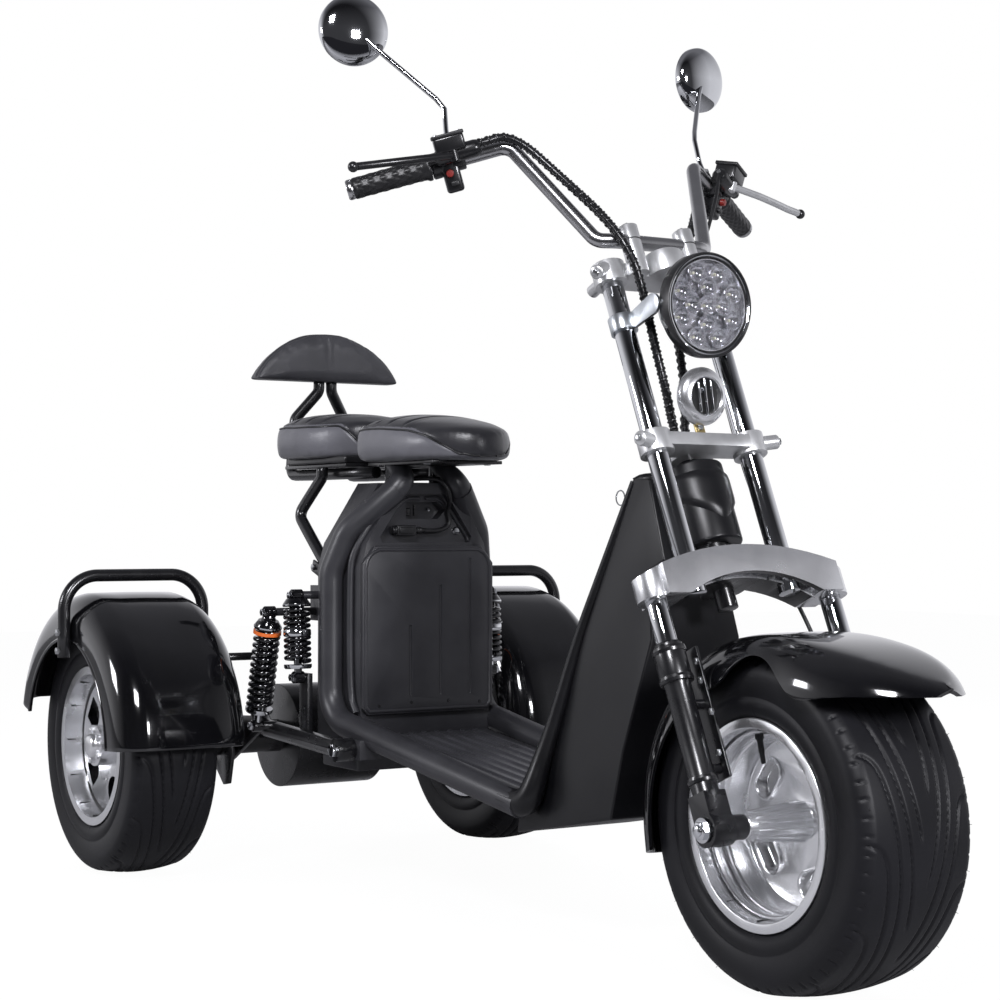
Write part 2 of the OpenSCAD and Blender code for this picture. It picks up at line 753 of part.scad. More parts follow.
// Points along each cord: first from the bar's middle and height, then along the fork
right_bar_run = [[-456, -176, 26], [-398, -120, -48], [-330, -94, -110], [-292, -76, -164]];
right_fork_run = [[30, -56, 777], [16, -50, 707], [0, -38, 647], [-26, -20, 618], [-40, -9, 600]];
left_bar_run = [[-472, 180, -52], [-422, 130, -106]];
left_fork_run = [[-46, 92, 890], [-40, 56, 850], [-38, 46, 800], [-36, 38, 720], [-36, 22, 640], [-40, 9, 600]];
hose_bar_run = [[-430, 186, -46]];
hose_fork_run = [
  [-56, 140, 900], [-40, 122, 828], [-40, 104, 720], [-40, 98, 540], [-44, 116, 430], [-46, 128, 350],
  [-42, 140, 290], [-38, 146, 220], [-44, 140, 130], [-56, 118, 106]
];
function cord_run(start, bar_run, fork_run, last) = concat(
  [start, [start.x, start.y, start.z] - [bar_way.x, sign(start.y) * bar_way.y, bar_way.z] * bundle_r * 2],
  [for (p = bar_run) bar_base + p], [for (p = fork_run) fork_point(p.x, p.y, p.z)], [last]);
stem_side = [0, bundle_r + over, 0];
caliper_top = [caliper_low.x + caliper_size.x / 2, disc_y + caliper_t / 4, caliper_low.y + caliper_size.y + fit];
right_bundle = cord_run(flip(master_end), right_bar_run, right_fork_run, stem_top - stem_side);
left_bundle = cord_run(pod_end, left_bar_run, left_fork_run, stem_top + stem_side);
hose_route = cord_run(master_end, hose_bar_run, hose_fork_run, fork_point(caliper_top.x, caliper_top.y, caliper_top.z));
module cable_bundles() {
  color("#1d1e20") on_chassis() {
    sweep(smooth(smooth(right_bundle)), bundle_r, 8);
    sweep(smooth(smooth(left_bundle)), bundle_r, 8);
  }
}
module brake_hose() {
  color("#1d1e20") on_chassis() sweep(smooth(smooth(hose_route)), hose_r, 6);
}

// Front fender

// Half of a fender's section: distance from its middle, then depth below its crown
function fender_half(w, drop, shoulder) = let (
    low = drop < shoulder ? asin(1 - drop / shoulder) : 0,
    round = arc([w / 2 - shoulder, -shoulder], shoulder, crown_turn, low + 2, 5))
  concat([[0, 0]], round, [[w / 2 - shoulder + shoulder * cos(low), -drop]]);
function fender_inner(w, drop, shoulder, t) =
  [for (p = fender_half(w - t * 2, drop - t, shoulder - t)) [p.x, p.y - t]];
// A half section made whole, from the left skirt over the crown to the right one
function whole(half) = let (n = len(half))
  concat([for (i = [1:n - 1]) half[n - i]], [for (p = half) [-p.x, p.y]]);
function back_to_front(list) = [for (i = [1:len(list)]) list[len(list) - i]];
function fender_section(w, drop, shoulder, t) =
  concat(whole(fender_half(w, drop, shoulder)), back_to_front(whole(fender_inner(w, drop, shoulder, t))));
// A thin shell through stations, each with its place and outward way in the XZ plane, its width and its drop
module shell_loft(stations, shoulder, t) {
  last = len(stations) - 1;
  sides = len(fender_section(front_fender_w, fender_shoulder, shoulder, t));
  half = sides / 2;
  rings = [for (station = stations)
    let (place = station[0], way = station[1], w = station[2], drop = station[3])
    for (p = fender_section(w, drop, shoulder, t))
      [place.x + way.x * p.y, p.x, place.y + way.y * p.y]];
  polyhedron(points = rings, faces = concat(
    [for (j = [0:half - 2]) [j, j + 1, sides - 2 - j, sides - 1 - j]],
    [for (i = [0:last - 1]) for (k = [0:sides - 1]) let (n = (k + 1) % sides)
      [i * sides + k, (i + 1) * sides + k, (i + 1) * sides + n, i * sides + n]],
    [for (j = [0:half - 2]) [for (k = [sides - 1 - j, sides - 2 - j, j + 1, j]) last * sides + k]]
  ));
}
// The section swept round a centre, with the crown at radius r
sweep_fn = 240;
module fender_sweep(w, drop, shoulder, t, r, from, to) {
  rotate([90, 0, 0]) rotate([0, 0, from]) rotate_extrude(angle = to - from, $fn = sweep_fn)
    polygon([for (p = fender_section(w, drop, shoulder, t)) [r + p.y, p.x]]);
}
crown_turn = 80;
fender_shoulder = 62;
nose_drop = 58;
nose_r = (nose * nose + nose_drop * nose_drop) / (2 * nose_drop);
// Rear part of the fender: angle about the front axle, then the skirt's drop
rear_stations = [[196, 50], [184, 54], [170, 56], [156, 58], [142, 60], [128, 62], [116, 64], [108, 66], [102, 62],
  [97, 48], [92, 36]];
// Front part: distance ahead of the axle, share of the full width, then the skirt's drop
nose_stations = [[10, 1, 27], [34, 1, 26], [58, 1, 33], [80, 1, 46], [100, 1, 60], [120, 0.99, 68], [140, 0.97, 65],
  [164, 0.93, 55], [190, 0.86, 45], [214, 0.77, 36], [236, 0.66, 28], [254, 0.54, 20], [nose, 0.4, 12]];
fender_path = concat(
  [for (row = rear_stations) let (angle = row[0], drop = row[1], way = [cos(angle), sin(angle)])
    [way * front_fender_r, way, front_fender_w, drop]],
  [for (row = nose_stations)
    let (ahead = row[0], share = row[1], drop = row[2], turn = asin(ahead / nose_r), way = [sin(turn), cos(turn)])
    [[0, front_fender_r - nose_r] + way * nose_r, way, front_fender_w * share, drop]]);
module front_fender() {
  color("#16171a") at_front_wheel() shell_loft(fender_path, fender_shoulder, skin);
}
module fender_stays() {
  y = front_fender_w / 2;
  foot = collar_l * 1.6;
  color("#1b1c1f") on_fork() both_sides() translate([-slider_d / 2, y + gap, foot])
    cube([slider_d, skin - gap * 2, front_fender_r - skin - foot]);
}
module brake_caliper_front() {
  leg_in = leg_y - slider_d / 2 - fit;
  color("#2b2c30") on_fork() difference() {
    union() {
      translate([caliper_low.x, disc_y - caliper_t / 2, caliper_low.y])
        cube([caliper_size.x, caliper_t, caliper_size.y]);
      translate([0, leg_in, 0]) rotate([90, 0, 0]) linear_extrude(height = arm_t)
        polygon([[-bolt_r * 2, slider_foot], [bolt_r * 2, slider_foot], [bolt_r * 2, slider_foot * 2 - over],
          [caliper_low.x / 2, caliper_low.y + caliper_size.y], [caliper_low.x, caliper_low.y]]);
    }
    translate([0, disc_y, 0]) rotate([90, 0, 0]) cylinder(r = disc_r + over, h = disc_t * 2, center = true);
  }
}

// Neck

module head_tube() {
  low = crown_z + crown_h + crown_rise + head_gap;
  color("#1f2023") on_fork() translate([-fork_offset, 0, low]) difference() {
    cylinder(r = head_r, h = lower_clamp_z - head_gap - low + clamp_h / 5);
    translate([0, 0, -over]) cylinder(r = stem_r + gap, h = far);
  }
}
// Side outline of the leg shield: ahead of the front axle, then height. Its last two points are its rear edge
shield_rows = [
  [-550, shield_low_z], [-302, 200], [-286, 300], [-266, 372], [-240, 460], [-262, 556], [-225, 572], [-278, 690],
  [-318, 690], [-536, 214]
];
shield_side = [for (p = shield_rows) [wheelbase + p.x, p.y]];
shield_rear_top = shield_side[8];
shield_rear_foot = shield_side[9];
module shield_profile() {
  rotate([90, 0, 0]) linear_extrude(height = far, center = true) polygon(shield_side);
}
module leg_shield() {
  color("#242528") difference() {
    on_chassis() intersection() {
      shield_profile();
      rotate([90, 0, 90]) linear_extrude(height = far)
        polygon([[-shield_half_w, shield_low_z], [shield_half_w, shield_low_z], [shield_half_w, floor_front_z],
          [shield_top_half_w, far / 4], [-shield_top_half_w, far / 4], [-shield_half_w, floor_front_z]]);
    }
    on_fork() translate([-fork_offset, 0, crown_z]) cylinder(r = hood_r + fit, h = far);
  }
}
module neck_hood() {
  low = crown_z + crown_h + crown_rise + head_gap * 4;
  top = lower_clamp_z - head_gap;
  color("#202124") on_fork() translate([-fork_offset, 0, low]) difference() {
    cylinder(r = hood_r, h = top - low);
    translate([0, 0, -over]) cylinder(r = head_r + fit, h = far);
  }
}
module ignition_lock() {
  slope = shield_rear_top - shield_rear_foot;
  place = shield_rear_foot + slope * lock_share;
  color("#3a3b3f") on_chassis() translate([place.x, -bolt_r * 3, place.y]) rotate([0, -atan2(slope.y, slope.x), 0])
    translate([0, 0, fit]) cylinder(r = bolt_r * 1.5, h = bolt_r * 3);
}

lock_share = 0.89;

// Floor and seat column

rail_right = [
  [column_front_x + 8, -column_top_half_w + rail_d / 4, column_top_z - rail_d / 4],
  [knee_x + 24, -rail_y + 20, 612], [knee_x, -rail_y, 540], [knee_x, -rail_y, floor_rear_z + 26],
  flip(rail_front)
];
// Front outline of the seat column: half width, then height
module column_outline(inset) {
  w = column_half_w - inset;
  t = column_top_half_w - inset / 2;
  low = floor_rear_z - floor_t;
  polygon([
    [-w, low], [w, low], [w, 548], [w * 0.92, 590], [t, column_top_z], [-t, column_top_z],
    [-w * 0.92, 590], [-w, 548]
  ]);
}
module column_slab(inset, from, to) {
  translate([from, 0, 0]) rotate([90, 0, 90]) linear_extrude(height = to - from) column_outline(inset);
}
module body_shell() {
  color("#26272b") on_chassis() union() {
    column_slab(rail_d * 0.4, column_rear_x, column_step_x);
    difference() {
      column_slab(rail_d * 0.4 + column_step, column_step_x, column_front_x);
      translate([column_front_x - recess_deep, 0, 0]) rotate([90, 0, 90]) linear_extrude(height = far)
        polygon([for (p = recess_half) p, for (p = back_to_front(recess_half)) [-p.x, p.y]]);
      translate([column_front_x - recess_deep - slot_deep, 0, slot_z]) rotate([90, 0, 90])
        linear_extrude(height = far) polygon([[-slot_half_l, -slot_half_h], [slot_half_l, -slot_half_h],
          [slot_half_l + slot_half_h, 0], [slot_half_l, slot_half_h], [-slot_half_l, slot_half_h]]);
    }
    both_sides() tube_path(rail_right, rail_d / 2, rail_bend, rail_sides);
    both_sides() difference() {
      translate([pivot_x - lug_l / 2, lug_in, pivot_z - swing_r])
        cube([lug_l, swing_y - swing_r - fit - lug_in, swing_r * 2]);
      translate([pivot_x, 0, pivot_z]) rotate([90, 0, 0]) cylinder(r = bolt_r + fit, h = far, center = true);
    }
    both_sides() translate([column_rear_x - shock_plate.x / 2, column_half_w - rail_d, shock_high[0].z - shock_plate.z * 0.75])
      cube(shock_plate);
    both_sides() for (high = shock_high) translate([high.x, column_half_w - rail_d, high.z]) rotate([-90, 0, 0])
      cylinder(r = bolt_r, h = high.y - eye_half_l - fit - column_half_w + rail_d);
  }
}
module battery_cover() {
  x = column_front_x + gap;
  color("#222327") on_chassis() difference() {
    translate([x, 0, 0]) rotate([90, 0, 90]) linear_extrude(height = cover_t)
      polygon([[-cover_half_w + 12, cover_low_z], [cover_half_w - 12, cover_low_z], [cover_half_w, cover_low_z + 12],
        [cover_half_w, cover_top_z - 30], [cover_half_w - 24, cover_top_z], [-cover_half_w + 24, cover_top_z],
        [-cover_half_w, cover_top_z - 30], [-cover_half_w, cover_low_z + 12]]);
    for (g = [[-0.3, 0.42], [0.16, 0.66], [0.62, 0.82]])
      translate([x + cover_t - groove_deep, g[0] * cover_half_w, cover_low_z + 30])
        cube([cover_t, groove_w, (cover_top_z - cover_low_z) * g[1]]);
  }
}
// The plug lies in the recess, and its lead runs up over the top of the column
lead_r = hose_r + 1;
recess_x = column_front_x - recess_deep + fit;
plug_size = [16, 38, 18];
plug_place = [recess_x, -58, 604];
plug_end = plug_place + [plug_size.x / 2, plug_size.y + fit, plug_size.z / 2];
lead_start = [0, 14, 0];
lead_route = [plug_end, plug_end + lead_start, [388, 30, 612], [386, 54, 622], [386, 50, 642], [394, 46, 656],
  [411, 40, 668], [412, 34, 686], [404, 22, 703], [388, 4, 704], [378, -16, 703]];
module battery_plug() {
  color("#18191b") on_chassis() translate(plug_place) {
    cube(plug_size);
    translate([plug_size.x / 2, -bolt_r, plug_size.z / 2]) rotate([-90, 0, 0]) cylinder(r = bolt_r, h = bolt_r * 2);
  }
}
module battery_lead() {
  color("#1d1e20") on_chassis() sweep(smooth(smooth(lead_route)), lead_r, 8);
}
module footboard() {
  drop = atan2(floor_rear_z - floor_front_z, rail_front.x - column_front_x);
  l = rail_front.x - column_front_x;
  front = shield_half_w - over;
  rear = rail_y - rail_d / 2 - rib_h;
  pitch = front * 2 / rib_count;
  color("#232428") on_chassis() difference() {
    translate([column_front_x + over, 0, floor_rear_z]) rotate([0, drop, 0]) {
      translate([0, 0, -floor_t]) linear_extrude(height = floor_t)
        polygon([[0, -rear], [l, -front], [l, front], [0, rear]]);
      for (i = [0:rib_count - 1]) translate([cover_t + over, (i + 0.5) * pitch - front - rib_w / 2, -over])
        cube([l, rib_w, rib_h + over]);
    }
    translate([-gap, 0, 0]) shield_profile();
  }
}

// Seats

// Outline of a saddle: broad at the rear and narrow at the nose
module saddle_outline(l, w) {
  rear_r = w * 0.3;
  nose_r = w * 0.22;
  hull() {
    for (s = [-1, 1]) translate([rear_r, s * (w / 2 - rear_r)]) circle(r = rear_r);
    for (s = [-1, 1]) translate([l * 0.5, s * (w / 2 - rear_r)]) circle(r = rear_r);
    for (s = [-1, 1]) translate([l - nose_r, s * (w / 3 - nose_r)]) circle(r = nose_r);
  }
}
// A saddle's layers: share of its height, then how far the outline is drawn in
saddle_layers = [[0, 10], [0.1, 2], [0.55, 0], [0.82, 12], [1, 40]];
module saddle(l, w) {
  hull() for (layer = saddle_layers) translate([0, 0, seat_h * layer[0]])
    linear_extrude(height = fit) offset(delta = -layer[1]) saddle_outline(l, w);
}
module seat_rider() {
  color("#3a3b40") on_chassis() translate([rider_seat_x, 0, seat_z]) saddle(rider_seat_l, seat_w);
}
module seat_passenger() {
  color("#3a3b40") on_chassis() translate([passenger_seat_x, 0, seat_z]) saddle(passenger_seat_l, seat_w);
}
plate_z = seat_z - gap - plate_t;
module seat_frame() {
  post_x = column_front_x - column_depth / 4;
  color("#27282b") on_chassis() {
    translate([rider_seat_x + post_r, -seat_tube_y - post_r, plate_z])
      cube([rider_seat_l * 0.7, (seat_tube_y + post_r) * 2, plate_t]);
    both_sides() translate([post_x, column_top_half_w * 0.6, column_top_z + fit])
      cylinder(r = post_r, h = plate_z - column_top_z);
    translate([passenger_seat_x + post_r, -seat_w * 0.35, plate_z])
      cube([passenger_seat_l - post_r * 2, seat_w * 0.7, plate_t]);
  }
}
tube_z = plate_z - seat_tube_r - fit;
module backrest_frame() {
  back_x = passenger_seat_x - seat_tube_r - over;
  color("#27282b") on_chassis() both_sides()
    tube_path([[rider_seat_x + post_r * 2, seat_tube_y, tube_z], [back_x, seat_tube_y, tube_z],
      [back_x, seat_tube_y - post_r / 2, seat_z + seat_h * 1.2],
      [backrest_x, seat_tube_r + over, backrest_z - post_r],
      [backrest_x, seat_tube_r + over, backrest_z - fit]], seat_tube_r, post_r * 1.2);
}
module backrest() {
  r = (backrest_w * backrest_w / 4 + backrest_h * backrest_h) / (2 * backrest_h);
  color("#3a3b40") on_chassis() translate([backrest_x - backrest_t / 2, 0, backrest_z]) rotate([90, 0, 90])
    linear_extrude(height = backrest_t) intersection() {
      translate([0, backrest_h - r]) circle(r = r);
      translate([-backrest_w, 0]) square([backrest_w * 2, backrest_h * 2]);
    }
}
module seat_struts() {
  top = strut_top;
  foot = strut_foot;
  color("#27282b") on_chassis() both_sides() tube_path([
    [top.x, top.y, plate_z - fit], [top.x, top.y, plate_z - post_r], strut_bend,
    [column_rear_x - post_r, foot.y, foot.z], [column_rear_x - fit, foot.y, foot.z]], seat_tube_r, post_r);
}

// Rear end

module swing_frame() {
  color("#232427") on_chassis() difference() {
    union() {
      both_sides() tube_path([[150, swing_y, 392], [104, swing_y, 262], [pivot_x, swing_y, pivot_z]], swing_r, rail_d);
      both_sides() translate([pivot_x, swing_y, pivot_z]) rotate([90, 0, 0])
        cylinder(r = swing_r * 1.2, h = swing_r * 2, center = true);
      both_sides() hull() {
        translate([0, swing_y, tyre_r]) rotate([90, 0, 0]) cylinder(r = housing_r * 1.4, h = bolt_r, center = true);
        translate([120, swing_y, 262]) rotate([90, 0, 0]) cylinder(r = swing_r, h = bolt_r, center = true);
      }
      both_sides() translate([150, swing_y, 388]) rotate([-90, 0, 0])
        cylinder(r = bolt_r, h = half_track - rear_fender_w / 2 - gap - swing_y);
      both_sides() translate([shock_low[0].x - swing_r, shock_low[0].y - eye_half_l - fit - lug_t, pivot_z])
        cube([swing_r * 2, lug_t, shock_low[0].z + bolt_r - pivot_z]);
      both_sides() translate([shock_low[1].x, swing_y, shock_low[1].z]) rotate([-90, 0, 0])
        cylinder(r = bolt_r, h = shock_low[1].y - eye_half_l - fit - swing_y);
    }
    translate([0, 0, tyre_r]) rotate([90, 0, 0]) cylinder(r = housing_r + fit, h = far, center = true);
    translate([pivot_x, 0, pivot_z]) rotate([90, 0, 0]) cylinder(r = bolt_r + fit, h = far, center = true);
  }
}
module pivot_bolts() {
  color("#d0d2d5") on_chassis() both_sides() translate([pivot_x, 0, pivot_z]) rotate([-90, 0, 0]) {
    translate([0, 0, swing_y - swing_r]) cylinder(r = bolt_r, h = swing_r * 2 + bolt_r);
    translate([0, 0, swing_y + swing_r + gap]) cylinder(r = bolt_r * 1.7, h = bolt_r, $fn = 6);
  }
}
module rear_axle() {
  color("#2b2c2f") on_chassis() translate([0, 0, tyre_r]) rotate([90, 0, 0]) {
    cylinder(r = housing_r, h = housing_half_l * 2, center = true);
    cylinder(r = motor_r, h = motor_half_l * 2, center = true);
    cylinder(d = rear_axle_d, h = (half_track + rear_tyre_w * 0.2) * 2, center = true);
  }
}
module brake_brackets() {
  y = swing_y + swing_r * 1.6;
  color("#1d1e20") on_chassis() both_sides() difference() {
    translate([0, y, 0]) rotate([90, 0, 0]) linear_extrude(height = bolt_r)
      polygon([[-30, 270], [44, 262], [66, 210], [50, 150], [28, 146], [-36, 200]]);
    translate([0, 0, tyre_r]) rotate([90, 0, 0]) cylinder(r = housing_r + fit, h = far, center = true);
  }
}
// One coil-over damper from its lower eye to its upper eye
coil_turns = 7;
coil_steps = 10;
cup_low_share = 0.2;
cup_high_share = 0.78;
module shock(low, high) {
  d = high - low;
  l = norm(d);
  foot = l * cup_low_share + coil_wire_r + gap;
  head = l * cup_high_share - coil_wire_r - gap;
  n = coil_turns * coil_steps;
  coil = [for (i = [0:n]) let (t = 360 * i / coil_steps)
    [shock_r * cos(t), shock_r * sin(t), foot + (head - foot) * i / n]];
  translate(low) rotate([0, acos(d.z / l), atan2(d.y, d.x)]) {
    for (z = [0, l]) translate([0, 0, z]) rotate([90, 0, 0])
      cylinder(r = bolt_r * 1.5, h = eye_half_l * 2, center = true);
    cylinder(r = bolt_r, h = l);
    translate([0, 0, l * cup_high_share / 2]) cylinder(r = shock_r * 0.6, h = l * cup_high_share / 2);
    translate([0, 0, l * cup_low_share - bolt_r]) cylinder(r = shock_r + coil_wire_r, h = bolt_r);
    translate([0, 0, l * cup_high_share]) cylinder(r = shock_r + coil_wire_r, h = bolt_r);
    sweep(coil, coil_wire_r, 6);
  }
}
shock_high = [[284, 196, 500], [244, 228, 470]];
shock_low = [[292, 196, 358], [196, 228, 268]];
module shock_pair() {
  on_chassis() for (i = [0:1]) shock(shock_low[i], shock_high[i]);
}
module shocks_left() {
  color("#8b8e93") shock_pair();
}
module shocks_right() {
  color("#8b8e93") mirror([0, 1, 0]) shock_pair();
}
rear_drop = 84;
rear_shoulder = 58;
rear_lip_angle = 3;
rear_end_angle = 165;
module rear_fender_right() {
  color("#141518") at_rear_wheel()
    fender_sweep(rear_fender_w, rear_drop, rear_shoulder, skin, rear_fender_r, rear_lip_angle, rear_end_angle);
}
module rear_fender_left() {
  mirror([0, 1, 0]) rear_fender_right();
}
hoop_foot_z = 388;
hoop_bend = 62;
module hoop_right() {
  y = rear_fender_w / 2 + hoop_d / 2 + gap;
  top = hoop_top_z - hoop_d / 2;
  color("#1d1e21") on_chassis() translate([rail_d / 2, -half_track, 0])
    both_sides() {
      translate([0, y, hoop_foot_z]) cylinder(d = hoop_d, h = top - hoop_bend - hoop_foot_z);
      translate([0, y - hoop_bend, top - hoop_bend]) rotate([0, -90, 0]) rotate_extrude(angle = 90)
        translate([hoop_bend, 0]) circle(d = hoop_d);
      translate([0, 0, top]) rotate([-90, 0, 0]) cylinder(d = hoop_d, h = y - hoop_bend);
    }
}
module hoop_left() {
  mirror([0, 1, 0]) hoop_right();
}
module controller_box() {
  top = floor_rear_z - floor_t - gap;
  color("#1c1d1f") on_chassis() translate([column_rear_x - box_back, -swing_y * 0.6, box_low_z])
    cube([column_depth, swing_y * 1.2, top - box_low_z]);
}

tyre_front();
rim_front();
brake_disc_front();
tyre_rear_right();
rim_rear_right();
tyre_rear_left();
rim_rear_left();
front_axle();
fork_sliders();
stanchions();
fork_crown();
upper_tubes();
lower_clamp();
top_clamp();
steering_stem();
handlebar();
grip_right();
grip_left();
controls_right();
controls_left();
mirror_right();
mirror_left();
headlamp();
headlamp_glass();
horn();
cable_bundles();
brake_hose();
front_fender();
fender_stays();
brake_caliper_front();
head_tube();
leg_shield();
neck_hood();
footboard();
body_shell();
battery_cover();
battery_plug();
battery_lead();
seat_frame();
seat_rider();
seat_passenger();
backrest_frame();
backrest();
seat_struts();
swing_frame();
pivot_bolts();
rear_axle();
brake_brackets();
shocks_right();
shocks_left();
rear_fender_right();
rear_fender_left();
hoop_right();
hoop_left();
controller_box();
ignition_lock();
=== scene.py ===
import json
import math
import bmesh
import bpy
import numpy as np
from mathutils import Matrix, Vector


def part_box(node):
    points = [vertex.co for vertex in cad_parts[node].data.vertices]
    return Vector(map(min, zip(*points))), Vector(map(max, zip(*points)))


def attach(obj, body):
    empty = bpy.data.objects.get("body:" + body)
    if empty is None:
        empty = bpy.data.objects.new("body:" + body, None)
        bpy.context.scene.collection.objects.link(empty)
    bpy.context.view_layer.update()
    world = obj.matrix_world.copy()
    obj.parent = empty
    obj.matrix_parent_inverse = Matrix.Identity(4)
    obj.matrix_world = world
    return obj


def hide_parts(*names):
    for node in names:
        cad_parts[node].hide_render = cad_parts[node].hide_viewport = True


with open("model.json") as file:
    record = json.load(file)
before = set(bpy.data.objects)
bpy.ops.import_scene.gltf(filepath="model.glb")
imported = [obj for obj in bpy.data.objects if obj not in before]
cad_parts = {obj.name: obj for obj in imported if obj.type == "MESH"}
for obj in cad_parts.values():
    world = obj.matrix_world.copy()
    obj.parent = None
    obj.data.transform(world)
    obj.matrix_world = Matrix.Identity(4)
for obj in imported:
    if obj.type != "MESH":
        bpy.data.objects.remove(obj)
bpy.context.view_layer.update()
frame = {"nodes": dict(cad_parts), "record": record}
scene = bpy.context.scene

# Studio: a pale seamless floor under big soft boxes, seen from low on the right front.
# The camera's place and lens come from fitting the wheels, lamp and grips.
REAR_X = sum(corner[0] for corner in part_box("rim_rear_right")) / 2


def at(x, y, z):
    """A place in millimetres ahead of the rear axle, to the left and above the ground."""
    return Vector((REAR_X + x / 1000, y / 1000, z / 1000))


cam_data = bpy.data.cameras.new("studio_camera")
cam_data.sensor_width, cam_data.lens, cam_data.clip_end = 36.0, 75.23, 60.0
camera = bpy.data.objects.new("studio_camera", cam_data)
scene.collection.objects.link(camera)
camera_place = at(3543.43, -1841.28, 619.34)
azimuth, rise, roll = math.radians(57.657), math.radians(-0.736), math.radians(0.087)
back = Vector((math.sin(azimuth) * math.cos(rise), -math.cos(azimuth) * math.cos(rise), math.sin(rise)))
right = Vector((0, 0, 1)).cross(back).normalized()
turn = Matrix((right, back.cross(right), back)).transposed().to_4x4()
camera.matrix_world = Matrix.Translation(camera_place) @ turn @ Matrix.Rotation(roll, 4, "Z")
scene.camera = camera
scene.view_settings.view_transform = "Standard"


class Socket:
    """One socket of a finish's nodes. Sums, differences and products of it add Math nodes."""

    def __init__(self, tree, socket):
        self.tree, self.socket = tree, socket

    def node(self, kind, settings=None, inputs=None, out=0):
        made = self.tree.nodes.new(kind)
        for key, value in (settings or {}).items():
            if key == "stops":
                ramp = made.color_ramp
                while len(ramp.elements) < len(value):
                    ramp.elements.new(0.5)
                for stop, (place, colour) in zip(ramp.elements, value):
                    stop.position, stop.color = place, colour
            else:
                setattr(made, key, value)
        for key, value in (inputs or {}).items():
            if isinstance(value, Socket):
                self.tree.links.new(value.socket, made.inputs[key])
            else:
                made.inputs[key].default_value = value
        return Socket(self.tree, made.outputs[out])

    def math(self, operation, a, b=0.0):
        return self.node("ShaderNodeMath", {"operation": operation}, {0: a, 1: b})

    def __add__(self, other):
        return self.math("ADD", self, other)

    def __radd__(self, other):
        return self.math("ADD", other, self)

    def __sub__(self, other):
        return self.math("SUBTRACT", self, other)

    def __rsub__(self, other):
        return self.math("SUBTRACT", other, self)

    def __mul__(self, other):
        return self.math("MULTIPLY", self, other)

    def __rmul__(self, other):
        return self.math("MULTIPLY", other, self)

    def output(self, name):
        return Socket(self.tree, self.socket.node.outputs[name])

    def into(self, node, name):
        self.tree.links.new(self.socket, node.inputs[name])
        return self

    def ramp(self, low, high, dark=(0, 0, 0), light=(1, 1, 1)):
        stops = ((low, (*dark, 1)), (high, (*light, 1)))
        return self.node("ShaderNodeValToRGB", {"stops": stops}, {"Fac": self})

    def noise(self, scale, detail):
        return self.node("ShaderNodeTexNoise", None, {"Vector": self, "Scale": scale, "Detail": detail})

    def bump(self, shader, strength, distance):
        inputs = {"Strength": strength, "Distance": distance, "Height": self}
        self.node("ShaderNodeBump", None, inputs).into(shader, "Normal")


def finish(name, **values):
    """A material with its shader's plain values set, its shader node, and its Object coordinates."""
    made = bpy.data.materials.new(name)
    made.use_nodes = True
    tree = made.node_tree
    shader = tree.nodes["Principled BSDF"]
    for key, value in values.items():
        shader.inputs[key.replace("_", " ")].default_value = value
    coords = tree.nodes.new("ShaderNodeTexCoord")
    return made, shader, Socket(tree, coords.outputs["Object"])


floor_half, floor_white, white_share = 9.0, 1.08, 0.9
floor_bm = bmesh.new()
bmesh.ops.create_grid(floor_bm, x_segments=2, y_segments=2, size=floor_half)
floor_mesh = bpy.data.meshes.new("studio_floor")
floor_bm.to_mesh(floor_mesh)
floor_bm.free()
floor = bpy.data.objects.new("studio_floor", floor_mesh)
scene.collection.objects.link(floor)
floor_mat, floor_shader, place = finish("studio_floor", Base_Color=(0.4, 0.4, 0.41, 1), Roughness=0.7)
rays = place.node("ShaderNodeLightPath")
white = place.node("ShaderNodeEmission", None, {"Color": (1, 1, 1, 1), "Strength": floor_white})
gloom = place.node("ShaderNodeEmission", None, {"Color": (0.02, 0.02, 0.024, 1), "Strength": 1.0})
lit = Socket(place.tree, floor_shader.outputs["BSDF"])
seen = place.node("ShaderNodeMixShader", None, {0: rays * white_share, 1: lit, 2: white})
spot = place.node("ShaderNodeSeparateXYZ", None, {0: place})
near_side = (spot * back.x + spot.output("Y") * back.y) * 0.25
mirrored_gloom = near_side.ramp(0.2, 0.5) * rays.output("Is Glossy Ray")
floor_mix = place.node("ShaderNodeMixShader", None, {0: mirrored_gloom, 1: seen, 2: gloom})
floor_mix.into(floor_mat.node_tree.nodes["Material Output"], "Surface")
floor_mesh.materials.append(floor_mat)

# The room is white behind the scooter and dark behind the camera, as bright parts show it
cool_white = (0.95, 0.95, 1)
world = bpy.data.worlds.new("studio")
scene.world = world
world.use_nodes = True
sky = Socket(world.node_tree, world.node_tree.nodes["Background"].outputs[0])
path = sky.node("ShaderNodeLightPath")
around = sky.node("ShaderNodeSeparateXYZ", None, {0: sky.node("ShaderNodeTexCoord")})
toward = around * (back.x * 0.5) + around.output("Y") * (back.y * 0.5) + 0.5
backdrop = toward.ramp(0.44, 0.8, cool_white, (0.06, 0.06, 0.066))
ceiling = around.output("Z").ramp(0.22, 0.7, (1, 1, 1), (0.22, 0.22, 0.23))
multiply = {"data_type": "RGBA", "blend_type": "MULTIPLY"}
room = sky.node("ShaderNodeMix", multiply, {0: 1.0, 6: backdrop, 7: ceiling}, 2)
fill = sky.node("ShaderNodeBackground", None, {"Color": (*cool_white, 1), "Strength": 0.3})
sides = sky.node("ShaderNodeBackground", None, {"Color": room, "Strength": 0.85})
plain = sky.node("ShaderNodeBackground", None, {"Color": (1, 1, 1, 1), "Strength": 1.0})
mirror_mix = sky.node("ShaderNodeMixShader", None, {0: path.output("Is Glossy Ray"), 1: fill, 2: sides})
world_mix = sky.node("ShaderNodeMixShader", None, {0: path, 1: mirror_mix, 2: plain})
world_mix.into(world.node_tree.nodes["World Output"], "Surface")

